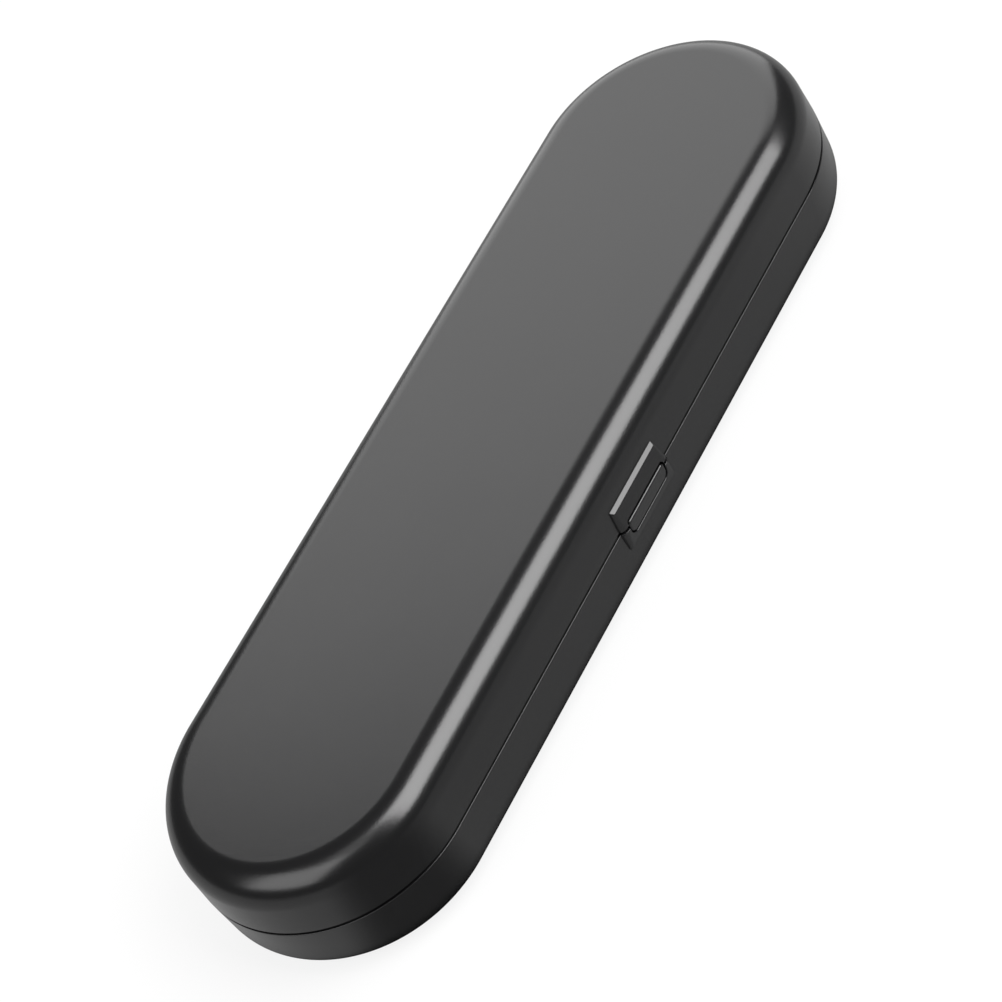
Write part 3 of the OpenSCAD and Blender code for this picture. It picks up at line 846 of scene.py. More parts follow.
class Copies:
    """Places a copy of one form at each point of a mesh."""

    def __init__(self) -> None:
        """Builds the tree once for every repeated form."""
        made, source = new_geometry_tree(
            "case_copies",
            {"Form": "NodeSocketObject", "Turn": "NodeSocketRotation", "Material": "NodeSocketMaterial"},
        )
        form = made.node(
            "GeometryNodeObjectInfo",
            {"transform_space": "ORIGINAL"},
            {"Object": source.outputs["Form"]},
        )
        spread = made.node(
            "GeometryNodeInstanceOnPoints",
            inputs={
                "Points": source.outputs["Geometry"],
                "Instance": form.outputs["Geometry"],
                "Rotation": source.outputs["Turn"],
            },
        )
        self.tree = end_geometry_tree(made, source, spread.outputs[0])

    def place(
        self,
        name: str,
        form: bpy.types.Object,
        points: list[Vector],
        turn: tuple[float, float, float],
        paint: bpy.types.Material,
    ) -> bpy.types.Object:
        """Places the copies and removes the form that they repeat.

        Args:
            name: Name of the piece.
            form: The form, drawn about the origin in metres.
            points: Where each copy goes, in the frame.
            turn: Turn of every copy, in radians.
            paint: Their material.

        Returns:
            The copies as one piece.
        """
        mesh = bpy.data.meshes.new(name)
        mesh.from_pydata(points, [], [])
        piece = grown(new_object(name, mesh), self.tree, {"Form": form, "Turn": turn, "Material": paint})
        bpy.data.objects.remove(form)
        return piece


# Finishes


@dataclass(frozen=True)
class Moulded:
    """A moulded plastic, rubber or foam with an even grain.

    Attributes:
        name: Name of the material.
        colour: Its colour, as linear red, green and blue.
        roughness: Its middle roughness.
        spread: How far the roughness varies.
        grain: Size of the grain, in millimetres.
        depth: Depth of the grain, in millimetres.
        wave: Depth of the broad unevenness of the moulding, in millimetres.
        wear: How much paler its edges are.
        gloss: Level of its specular reflection, where 0.5 is a plain plastic.
    """

    name: str
    colour: tuple[float, float, float]
    roughness: float
    spread: float = 0.05
    grain: float = 0.35
    depth: float = 0.012
    wave: float = 0.0
    wear: float = 0.25
    gloss: float = 0.5

    BROAD_SCALE = 45.0
    SWELL_SCALE = 160.0
    RUB_SCALE = 300.0
    EDGE_FROM = 0.56
    EDGE_TO = 0.75
    WORN_LEVEL = 0.25
    TINT = 0.08

    def material(self) -> bpy.types.Material:
        """Builds the material.

        Returns:
            The material.
        """
        made = bpy.data.materials.new(self.name)
        made.use_nodes = True
        tree = Tree(made.node_tree)
        shader = made.node_tree.nodes["Principled BSDF"]
        place = tree.node("ShaderNodeTexCoord").outputs["Object"]
        fine = tree.node(
            "ShaderNodeTexNoise",
            inputs={"Vector": place, "Scale": 1 / (self.grain * MM), "Detail": 2.0, "Roughness": 0.6},
        )
        pits = tree.node(
            "ShaderNodeTexVoronoi",
            {"feature": "SMOOTH_F1"},
            {"Vector": place, "Scale": 0.8 / (self.grain * MM), "Smoothness": 0.6},
        )
        broad = tree.node(
            "ShaderNodeTexNoise",
            inputs={"Vector": place, "Scale": self.BROAD_SCALE, "Detail": 3.0},
        )
        height = tree.math("ADD", fine.outputs[0], tree.math("MULTIPLY", pits.outputs[0], 0.5))
        bump = tree.node(
            "ShaderNodeBump",
            inputs={"Height": height, "Strength": 1.0, "Distance": self.depth * MM},
        )
        if self.wave:
            slow = tree.node(
                "ShaderNodeTexNoise",
                inputs={"Vector": place, "Scale": self.SWELL_SCALE, "Detail": 1.0},
            )
            swell = tree.node(
                "ShaderNodeBump",
                inputs={"Height": slow.outputs[0], "Strength": 1.0, "Distance": self.wave * MM},
            )
            made.node_tree.links.new(swell.outputs[0], bump.inputs["Normal"])
        made.node_tree.links.new(bump.outputs[0], shader.inputs["Normal"])
        rough = tree.node(
            "ShaderNodeMapRange",
            inputs={
                "Value": broad.outputs[0],
                "To Min": self.roughness - self.spread,
                "To Max": self.roughness + self.spread,
            },
        )
        made.node_tree.links.new(rough.outputs[0], shader.inputs["Roughness"])
        shader.inputs["Specular IOR Level"].default_value = self.gloss
        made.node_tree.links.new(self._colour(tree, place, broad.outputs[0]), shader.inputs["Base Color"])
        return made

    def _colour(
        self, tree: Tree, place: bpy.types.NodeSocket, broad: bpy.types.NodeSocket
    ) -> bpy.types.NodeSocket:
        """Varies the colour a little over the surface and along the edges.

        Args:
            tree: The material's tree.
            place: Where a point lies on the object.
            broad: The broad noise.

        Returns:
            The colour.
        """
        low = tuple(c * (1 - self.TINT) for c in self.colour) + (1.0,)
        high = tuple(c * (1 + self.TINT) for c in self.colour) + (1.0,)
        worn = tuple(c + self.wear * (self.WORN_LEVEL - c) for c in self.colour) + (1.0,)
        ground = tree.node("ShaderNodeMix", {"data_type": "RGBA"}, {"Factor": broad})
        ground.inputs[6].default_value = low
        ground.inputs[7].default_value = high
        point = tree.node("ShaderNodeNewGeometry").outputs["Pointiness"]
        edge = tree.node(
            "ShaderNodeMapRange",
            inputs={
                "Value": point,
                "From Min": self.EDGE_FROM,
                "From Max": self.EDGE_TO,
                "To Min": 0.0,
                "To Max": 0.5,
            },
        )
        rub = tree.node(
            "ShaderNodeTexNoise",
            inputs={"Vector": place, "Scale": self.RUB_SCALE, "Detail": 4.0},
        )
        patchy = tree.math("MULTIPLY", edge.outputs[0], rub.outputs[0])
        mixed = tree.node("ShaderNodeMix", {"data_type": "RGBA"}, {"Factor": patchy})
        tree.tree.links.new(ground.outputs[2], mixed.inputs[6])
        mixed.inputs[7].default_value = worn
        return mixed.outputs[2]


@dataclass(frozen=True)
class Metal:
    """A steel with fine marks along one axis.

    Attributes:
        name: Name of the material.
        colour: Its colour, as linear red, green and blue.
        roughness: Its middle roughness.
        stretch: How the marks are drawn out, along x, y and z.
        depth: Depth of the marks, in millimetres.
    """

    name: str
    colour: tuple[float, float, float]
    roughness: float
    stretch: tuple[float, float, float] = (1.0, 12.0, 12.0)
    depth: float = 0.004

    MARK_SCALE = 900.0
    SPREAD = 0.08
    DARK_SHARE = 0.85

    def material(self) -> bpy.types.Material:
        """Builds the material.

        Returns:
            The material.
        """
        made = bpy.data.materials.new(self.name)
        made.use_nodes = True
        tree = Tree(made.node_tree)
        shader = made.node_tree.nodes["Principled BSDF"]
        place = tree.node("ShaderNodeTexCoord").outputs["Object"]
        drawn = tree.node("ShaderNodeMapping", inputs={"Vector": place, "Scale": self.stretch})
        marks = tree.node(
            "ShaderNodeTexNoise",
            inputs={"Vector": drawn.outputs[0], "Scale": self.MARK_SCALE, "Detail": 4.0},
        )
        bump = tree.node(
            "ShaderNodeBump",
            inputs={"Height": marks.outputs[0], "Strength": 0.6, "Distance": self.depth * MM},
        )
        rough = tree.node(
            "ShaderNodeMapRange",
            inputs={
                "Value": marks.outputs[0],
                "To Min": self.roughness - self.SPREAD,
                "To Max": self.roughness + self.SPREAD,
            },
        )
        tint = tree.node("ShaderNodeMix", {"data_type": "RGBA"}, {"Factor": marks.outputs[0]})
        tint.inputs[6].default_value = tuple(c * self.DARK_SHARE for c in self.colour) + (1.0,)
        tint.inputs[7].default_value = self.colour + (1.0,)
        made.node_tree.links.new(tint.outputs[2], shader.inputs["Base Color"])
        made.node_tree.links.new(rough.outputs[0], shader.inputs["Roughness"])
        made.node_tree.links.new(bump.outputs[0], shader.inputs["Normal"])
        shader.inputs["Metallic"].default_value = 1.0
        return made


BLACK = (0.006, 0.006, 0.0063)
SATIN_BLACK = Moulded("satin_black_plastic", BLACK, 0.23, spread=0.02, wave=0.004, gloss=0.65)
BUTTON_BLACK = Moulded("button_black_plastic", BLACK, 0.25, grain=0.3, gloss=0.65)
INNER_GREY = Moulded("inner_grey_plastic", (0.075, 0.078, 0.084), 0.5, grain=0.5, depth=0.015)
SILICONE = Moulded("dark_silicone", (0.028, 0.031, 0.034), 0.62, grain=0.25, depth=0.006, wear=0.05)
FOAM = Moulded("closed_cell_foam", (0.018, 0.018, 0.02), 0.9, grain=0.6, depth=0.12, wear=0.1, gloss=0.2)
ACETAL = Moulded("pale_grey_acetal", (0.44, 0.45, 0.46), 0.3, grain=0.4, depth=0.004, wear=0.05)
PIN_STEEL = Metal("pin_steel", (0.56, 0.57, 0.58), 0.3)
SPRING_STEEL = Metal("spring_steel", (0.5, 0.5, 0.5), 0.26, stretch=(12.0, 12.0, 1.0))
SCREW_STEEL = Metal("screw_steel", (0.5, 0.51, 0.53), 0.32, stretch=(4.0, 4.0, 4.0))


# Pieces


@dataclass
class Workshop:
    """What every sub-assembly is made with.

    Attributes:
        sizes: Sizes of the case.
        latch: Sizes of the latch.
        nodes: The frame's own nodes, by name.
        sweep: Sweeps the shells.
        copies: Places repeated forms.
        paints: The material of each finish, by its name.
    """

    sizes: CaseSizes
    latch: LatchSizes
    nodes: dict[str, bpy.types.Object]
    sweep: Sweep = field(default_factory=Sweep)
    copies: Copies = field(default_factory=Copies)
    paints: dict[str, bpy.types.Material] = field(default_factory=dict)

    def paint(self, finish: Moulded | Metal) -> bpy.types.Material:
        """Gives a finish's material, which is built once."""
        if finish.name not in self.paints:
            self.paints[finish.name] = finish.material()
        return self.paints[finish.name]

    def mount(
        self,
        piece: bpy.types.Object,
        body: Body,
        finish: Moulded | Metal,
        slot: Slot,
        stands_for: tuple[str, ...] = (),
    ) -> bpy.types.Object:
        """Dresses a finished piece and puts it on its body.

        Args:
            piece: The piece.
            body: The body that it rides on.
            finish: Its finish.
            slot: The record's slot that its finish is from; not used.
            stands_for: The nodes that it replaces.

        Returns:
            The piece.
        """
        piece.data.materials.clear()
        piece.data.materials.append(self.paint(finish))
        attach(shade(piece), body.value)
        if stands_for:
            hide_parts(*stands_for)
        faces = len(piece.data.polygons)
        LOG.info("%s: %d faces, rides on %s", piece.name, faces, body.value)
        return piece

    def repaint(self, node: str, finish: Moulded | Metal) -> None:
        """Gives a node of the frame its finish.

        Args:
            node: The node.
            finish: Its finish.
        """
        slots = self.nodes[node].material_slots
        for place in slots:
            place.link = "OBJECT"
            place.material = self.paint(finish)
        LOG.info("%s: kept from the frame, in %s", node, finish.name)


@dataclass
class Shells:
    """The two outer shells, their hinge blocks and the two halves of the latch pad.

    Attributes:
        shop: What they are made with.
        arc_steps: Steps of the shells' outer roundings.
        inner_steps: Steps of their inner roundings.
        knuckle_r: Radius of the hinge's knuckles.
        hinge_x: Distance of each hinge from the middle of the case.
        lid_knuckle: Length of the lid's knuckle.
        base_knuckle: Length of each of the base's two knuckles.
        knuckle_gap: Gap between two knuckles.
        swing_gap: Gap between a knuckle and the block of the other shell.
        web_over: How far the web of a knuckle runs into its block.
        stop_h: How far a stop block reaches from the seam.
        stop_play: Play between the stop faces when the lid lies flat.
        bore_r: Radius of the bore for the pin.
        pin_cap: Length of the closed end of the bore.
        block_edge: Rounding of a block's edges.
        reach: How far a cutting tool reaches past what it cuts.
        lid_pad_edge: Rounding of the lid's pad at its rim, and of its ledge's foot.
        base_pad_edge: Rounding of the base's pad at its rim.
        least_round: Least rounding of the pad's corners, where it hardly stands out.
        pad_root: How far the pad runs into the wall, as a share of the wall.
        ledge_ends: How deep in the wall the last two rings of the ledge lie.
    """

    shop: Workshop
    arc_steps: int = 28
    inner_steps: int = 16
    knuckle_r: float = 2.1
    hinge_x: float = 46.0
    lid_knuckle: float = 12.0
    base_knuckle: float = 6.0
    knuckle_gap: float = 0.3
    swing_gap: float = 0.3
    web_over: float = 0.05
    stop_h: float = 7.0
    stop_play: float = 0.02
    bore_r: float = 0.84
    pin_cap: float = 1.0
    block_edge: float = 0.18
    reach: float = 1.0
    lid_pad_edge: float = 0.1
    base_pad_edge: float = 0.15
    least_round: float = 0.3
    pad_root: float = 0.6
    ledge_ends: tuple[float, float] = (0.1, 0.6)

    def lid_profile(self) -> Outline:
        """Half profile of the lid, from the edge of its top face round its rim to its roof.

        Returns:
            Radius and height of each point.
        """
        s = self.shop.sizes
        corner = (s.end_r - s.lid_lean - s.top_round, s.height - s.top_round)
        rim = s.lid_edge
        lip_r = s.in_r + s.lip_t + s.lip_play
        step_z = s.base_rim + s.lip_h + s.rest_play
        outer = arc(corner, s.top_round, 90, 0, self.arc_steps)
        edge = arc((s.end_r - rim, s.lid_rim + rim), rim, 0, -90, 4)
        turn = s.step_edge
        inner_edge = arc((lip_r + turn, s.lid_rim + turn), turn, -90, -180, 2)
        step = [(lip_r, step_z), (s.in_r, step_z)]
        roof = arc(corner, s.top_round - s.wall, 0, 90, self.inner_steps)
        return outer + edge + inner_edge + step + roof

    def base_profile(self) -> Outline:
        """Half profile of the base, from the edge of its bottom face round its rim to its floor.

        Returns:
            Radius and height of each point.
        """
        s = self.shop.sizes
        corner = (s.end_r - s.base_lean - s.bottom_round, s.bottom_round)
        rim = s.rim_round
        lip_r = s.in_r + s.lip_t
        lip_z = s.base_rim + s.lip_h
        outer = arc(corner, s.bottom_round, -90, 0, self.arc_steps)
        shelf = s.base_rim - s.reveal
        edge = arc((s.end_r - rim, shelf - rim), rim, 0, 90, 4)
        step = [(s.end_r - s.reveal_depth, shelf), (s.end_r - s.reveal_depth, s.base_rim)]
        lip = [
            (lip_r, s.base_rim),
            (lip_r, lip_z - s.lip_outer),
            (lip_r - s.lip_outer, lip_z),
            (s.in_r + s.lip_inner, lip_z),
            (s.in_r, lip_z - s.lip_inner),
        ]
        floor = arc(corner, s.bottom_round - s.wall, 0, -90, self.inner_steps)
        return outer + edge + step + lip + floor

    def opening(self, inset: float, high: float | None = None) -> Outline:
        """Outline of the button's opening, which the window and the notch make up together.

        Args:
            inset: How far it is drawn in.
            high: Height of its top edge, where it isn't the notch's.

        Returns:
            Place along the case and height of each point.
        """
        s, k = self.shop.sizes, self.shop.latch
        w = k.window_half - inset
        low = s.seam_z - k.window_drop + inset
        top = s.lid_rim + k.notch_rise - k.face_drop - inset if high is None else high
        r = k.window_round - inset / 2
        q = k.notch_round - inset / 2
        lower = arc((w - r, low + r), r, -90, 0, 8)
        upper = arc((w - q, top - q), q, 0, 90, 8) if high is None else [(w, top)]
        right = lower + upper
        return right + [(-x, z) for x, z in reversed(right)]

    def notch(self) -> Outline:
        """Outline that cuts the notch into the lid, from below its rim.

        Returns:
            Place along the case and height of each point.
        """
        s, k = self.shop.sizes, self.shop.latch
        w = k.window_half
        r = k.notch_round
        low, top = s.lid_rim - 1, s.lid_rim + k.notch_rise
        right = [(w, low), *arc((w - r, top - r), r, 0, 90, 8)]
        return right + [(-x, z) for x, z in reversed(right)]

    def pad_ring(self, half: float, proud: float, z: float) -> list[Vector]:
        """Section of the latch pad at one height, with rounded corners.

        Args:
            half: Half of its width.
            proud: How far it stands out from the wall.
            z: The height.

        Returns:
            The points of the section, in the frame.
        """
        s, k = self.shop.sizes, self.shop.latch
        back = s.wall * self.pad_root
        r = max(self.least_round, min(k.round, proud + self.least_round))
        left = arc((-half + r, r - proud), r, 180, 270, 8)
        right = arc((half - r, r - proud), r, 270, 360, 8)
        outline = [(-half, back), *left, *right, (half, back)]
        return in_frame([Vector((x, v - s.end_r, z)) for x, v in outline], s)

    def hinge_block(self, name: str, way: Way, side: int) -> bpy.types.Object:
        """The part of one hinge that stands out from a shell.

        Args:
            name: Name of the solid.
            way: UP on the lid and DOWN on the base.
            side: 1 on the right and -1 on the left.

        Returns:
            The solid, in its place.
        """
        s = self.shop.sizes
        up = way.value
        w = s.hinge_y - s.end_r
        root = w + s.wall / 2
        near = self.knuckle_r + self.swing_gap
        length = self.lid_knuckle + 2 * self.base_knuckle + 2 * self.knuckle_gap
        centre = Vector((side * self.hinge_x, s.hinge_y, s.seam_z))

        def along(label: str, outline: Outline, x0: float, x1: float) -> bpy.types.Object:
            """Extrudes depth and height, measured from the hinge's axis, along the case."""
            rings = [in_frame([centre + Vector((x, v, z)) for v, z in outline], s) for x in (x0, x1)]
            return prism(label, rings)

        if way is Way.UP:
            spans = [(-self.lid_knuckle / 2, self.lid_knuckle / 2)]
        else:
            inner_end = length / 2 - self.base_knuckle
            spans = [(-length / 2, -inner_end), (inner_end, length / 2)]
        low, high = up * s.seam_gap / 2, up * (near + self.web_over)
        stop = [
            (-root, up * near),
            (-self.stop_play, up * near),
            (-self.stop_play, up * (self.stop_h - w)),
            (-w, up * self.stop_h),
            (-root, up * self.stop_h),
        ]
        made = along(name, stop, -length / 2, length / 2)
        for x0, x1 in spans:
            web = [(-root, low), (0, low), (0, high), (-root, high)]
            carve(made, along("web", web, x0, x1), "UNION")
            carve(made, along("knuckle", circle((0, 0), self.knuckle_r, 64), x0, x1), "UNION")
        inner, outer = -side * (length / 2 + self.reach), side * (length / 2 - self.pin_cap)
        bore = along("bore", circle((0, 0), self.bore_r, 32), inner, outer)
        return soften(carve(made, bore), self.block_edge)

    def cut_front(self, piece: bpy.types.Object, outline: Outline) -> None:
        """Cuts an outline of width and height right through the front wall and the pad.

        Args:
            piece: The piece that is cut.
            outline: The outline.
        """
        s, k = self.shop.sizes, self.shop.latch
        carve(piece, through_front("cut", outline, -k.front - self.reach, s.wall + self.reach, s))

    def mount_blocks(self, name: str, way: Way, body: Body) -> None:
        """Builds a shell's two hinge blocks and puts them on its body.

        Args:
            name: Name of the piece that they make.
            way: UP on the lid and DOWN on the base.
            body: The body that they ride on.
        """
        blocks = [self.hinge_block("block", way, side) for side in (-1, 1)]
        self.shop.mount(joined(name, blocks), body, SATIN_BLACK, Slot.SHELL)

    def lid(self) -> None:
        """Builds the lid's shell, its half of the latch pad and its hinge blocks."""
        shop, s, k = self.shop, self.shop.sizes, self.shop.latch
        paint = shop.paint(SATIN_BLACK)
        skin = shop.sweep.shell("lid_case", self.lid_profile(), s, paint)
        notch = self.notch()
        self.cut_front(skin, notch)
        shop.mount(skin, Body.LID, SATIN_BLACK, Slot.SHELL, ("lid_shell",))
        top = s.seam_z + k.rise
        f = self.lid_pad_edge
        levels = [(k.proud - f * (1 - math.sin(a)), s.lid_rim + f * (1 - math.cos(a))) for a in QUARTER]
        rise = math.tan(math.radians(k.ledge_tilt))
        foot = Vector((k.proud - k.slope, top - rise * (k.proud - k.slope)))
        before = foot + (Vector((k.proud, s.lid_rim)) - foot).normalized() * f
        after = foot + Vector((-1, rise)).normalized() * f
        for i in range(5):
            t = i / 4
            levels.append(before * (1 - t) ** 2 + foot * (2 * t * (1 - t)) + after * t**2)
        levels += [(-depth, top + rise * depth) for depth in self.ledge_ends]
        rings = []
        for proud, z in levels:
            half = k.half - k.taper * (z - s.lid_rim) / (top - s.lid_rim)
            rings.append(self.pad_ring(half, proud, z))
        pad = prism("lid_latch_pad", rings)
        self.cut_front(pad, notch)
        shop.mount(soften(pad, k.edge / 2, 2, 60), Body.LID, SATIN_BLACK, Slot.SHELL)
        self.mount_blocks("lid_hinge_blocks", Way.UP, Body.LID)

    def base(self) -> None:
        """Builds the base's shell, its half of the latch pad and its hinge blocks."""
        shop, s, k = self.shop, self.shop.sizes, self.shop.latch
        paint = shop.paint(SATIN_BLACK)
        skin = shop.sweep.shell("base_case", self.base_profile(), s, paint)
        window = self.opening(0, s.base_rim + self.reach)
        self.cut_front(skin, window)
        zone = [(-k.zone_half, s.base_rim), (k.zone_half, s.base_rim)]
        zone += [(k.zone_half, s.base_rim + 2 * s.lip_h), (-k.zone_half, s.base_rim + 2 * s.lip_h)]
        self.cut_front(skin, zone)
        shop.mount(skin, Body.BASE, SATIN_BLACK, Slot.SHELL, ("base_shell",))
        low = s.seam_z - k.drop + k.round
        f = self.base_pad_edge
        rim = s.base_rim - s.reveal
        levels = [(k.proud - f * (1 - math.sin(a)), rim - f * (1 - math.cos(a))) for a in QUARTER]
        foot = arc((k.round + k.fall - k.proud, low), k.round, 180, 254, 10)
        levels += [(k.proud - k.fall / 2, (rim + low) / 2), *((-v, z) for v, z in foot)]
        pad = prism("base_latch_pad", [self.pad_ring(k.half, proud, z) for proud, z in levels])
        self.cut_front(pad, window)
        shop.mount(soften(pad, k.edge, 3, 50, clamp=False), Body.BASE, SATIN_BLACK, Slot.SHELL)
        self.mount_blocks("base_hinge_blocks", Way.DOWN, Body.BASE)

    def build(self) -> None:
        """Builds both shells."""
        self.lid()
        self.base()


@dataclass
class Latch:
    """The press button, its leaf spring, the bracket and the keeper.

    Attributes:
        shop: What they are made with.
        shells: The shells, which know the button's opening.
        push_half: Half of the width of the rib that pushes the leaf.
        push_slope: How much lower each end of that rib is than its root.
        rib_root: How far the rib runs into the flange.
        seat_play: Play between the rib and the leaf, and under the leaf.
        flange_round: Rounding of the flange's corners.
        hidden_edge: Rounding of the flange's and the rib's edges.
        leaf_edge: Rounding of the leaf's edges.
        bracket_edge: Rounding of the bracket's edges.
        keeper_edge: Rounding of the keeper's edges.
        bend_share: Radius of the hook's bend, as a share of the leaf's thickness.
        follow_below: How far below its broad part's top the leaf would follow the button fully; not used.
    """

    shop: Workshop
    shells: Shells
    push_half: float = 2.5
    push_slope: float = 1.0
    rib_root: float = 0.2
    seat_play: float = 0.05
    flange_round: float = 0.8
    hidden_edge: float = 0.12
    leaf_edge: float = 0.06
    bracket_edge: float = 0.15
    keeper_edge: float = 0.08
    bend_share: float = 0.9
    follow_below: float = 1.5

    def button(self) -> None:
        """Builds the press button with its flange and its rib."""
        shop, s, k = self.shop, self.shop.sizes, self.shop.latch
        face = self.face()
        low = s.seam_z - k.window_drop - k.flange_drop
        high = s.base_rim - k.play
        w = k.window_half + k.flange_over
        flange = through_front(
            "flange",
            rounded([(-w, low), (w, low), (w, high), (-w, high)], self.flange_round),
            k.flange_v,
            k.flange_v + k.flange_t,
            s,
        )
        back = k.flange_v + k.flange_t
        rib = [
            (back - self.rib_root, low + self.push_slope),
            (k.leaf_v - self.seat_play, low + 2 * self.push_slope),
            (k.leaf_v - self.seat_play, high - self.push_slope),
            (back - self.rib_root, high),
        ]
        push = along_front("rib", rib, -self.push_half, self.push_half, s)
        parts = [face, soften(flange, self.hidden_edge), soften(push, self.hidden_edge)]
        shop.mount(joined("press_button", parts), Body.BUTTON, BUTTON_BLACK, Slot.SHELL, ("latch_button",))

    def face(self) -> bpy.types.Object:
        """Builds the button's face, with round edges, which stands out most at its top edge.

        Returns:
            The solid.
        """
        s, k = self.shop.sizes, self.shop.latch
        high = s.lid_rim + k.notch_rise - k.face_drop - k.play
        low = s.seam_z - k.window_drop
        steps = [(0.0, None), (0.0, k.face_edge)]
        for i in range(1, 7):
            turn = math.radians(15 * i)
            steps.append((k.face_edge * (1 - math.cos(turn)), k.face_edge * (1 - math.sin(turn))))
        rings = []
        for inset, depth in steps:
            ring = []
            for x, z in self.shells.opening(k.play + inset):
                face_v = -k.front + k.face_lean * (high - z) / (high - low)
                v = k.flange_v + k.face_root if depth is None else face_v + depth
                ring.append(Vector((x, v - s.end_r, z)))
            rings.append(in_frame(ring, s))
        return prism("button_face", rings)

    def leaf(self) -> None:
        """Builds the leaf spring as one bent strip."""
        shop, s, k = self.shop, self.shop.sizes, self.shop.latch
        foot = k.clamp_low + self.seat_play
        wide_top = s.base_rim - k.play - self.push_slope
        hook_z = s.seam_z + k.hook_rise
        mid = k.leaf_v + k.leaf_t / 2
        bend = k.leaf_t * self.bend_share
        line: list[tuple[float, float, float]] = []
        for i in range(13):
            line.append((mid, foot + (wide_top - foot) * i / 12, k.leaf_half))
        line.append((mid, wide_top + 0.01, k.hook_half))
        for i in range(1, 5):
            line.append((mid, wide_top + (hook_z - bend - wide_top) * i / 5, k.hook_half))
        turn = arc((mid - bend, hook_z + k.leaf_t / 2 - bend), bend, 0, 90, 6)
        line += [(v, z, k.hook_half) for v, z in turn]
        line.append((k.hook_v + 0.02, hook_z + k.leaf_t / 2, k.hook_half))
        rings = []
        for i, (v, z, half) in enumerate(line):
            before, after = line[max(i - 1, 0)], line[min(i + 1, len(line) - 1)]
            run = Vector((after[0] - before[0], after[1] - before[1])).normalized()
            side = Vector((run.y, -run.x)) * k.leaf_t / 2
            corners = [(-half, 1), (half, 1), (half, -1), (-half, -1)]
            ring = [Vector((x, v + side.x * d - s.end_r, z + side.y * d)) for x, d in corners]
            rings.append(in_frame(ring, s))
        strip = prism("latch_leaf", rings)
        clamp_z = k.clamp_low + k.clamp_h / 2
        for side in (-1, 1):
            hole = circle((side * k.screw_x, clamp_z), k.screw_hole, 24)
            carve(strip, through_front("hole", hole, k.leaf_v - 1, k.leaf_v + 1.5, s))
        soften(strip, self.leaf_edge, 1)
        strip = self.shop.mount(strip, Body.BASE, SPRING_STEEL, Slot.STEEL, ("latch_spring",))
        strip.parent = None
        strip.matrix_world = Matrix.Identity(4)
        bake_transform(strip)

    def bracket(self) -> None:
        """Rounds the edges of the bracket and of the keeper."""
        shop = self.shop
        bracket = soften(merged_copy("leaf_bracket", shop.nodes["latch_bracket"]), self.bracket_edge)
        shop.mount(bracket, Body.BASE, INNER_GREY, Slot.INNER, ("latch_bracket",))
        keeper = soften(merged_copy("hook_keeper", shop.nodes["latch_keeper"]), self.keeper_edge)
        shop.mount(keeper, Body.LID, SPRING_STEEL, Slot.STEEL, ("latch_keeper",))

    def build(self) -> None:
        """Builds the latch."""
        self.button()
        self.leaf()
        self.bracket()


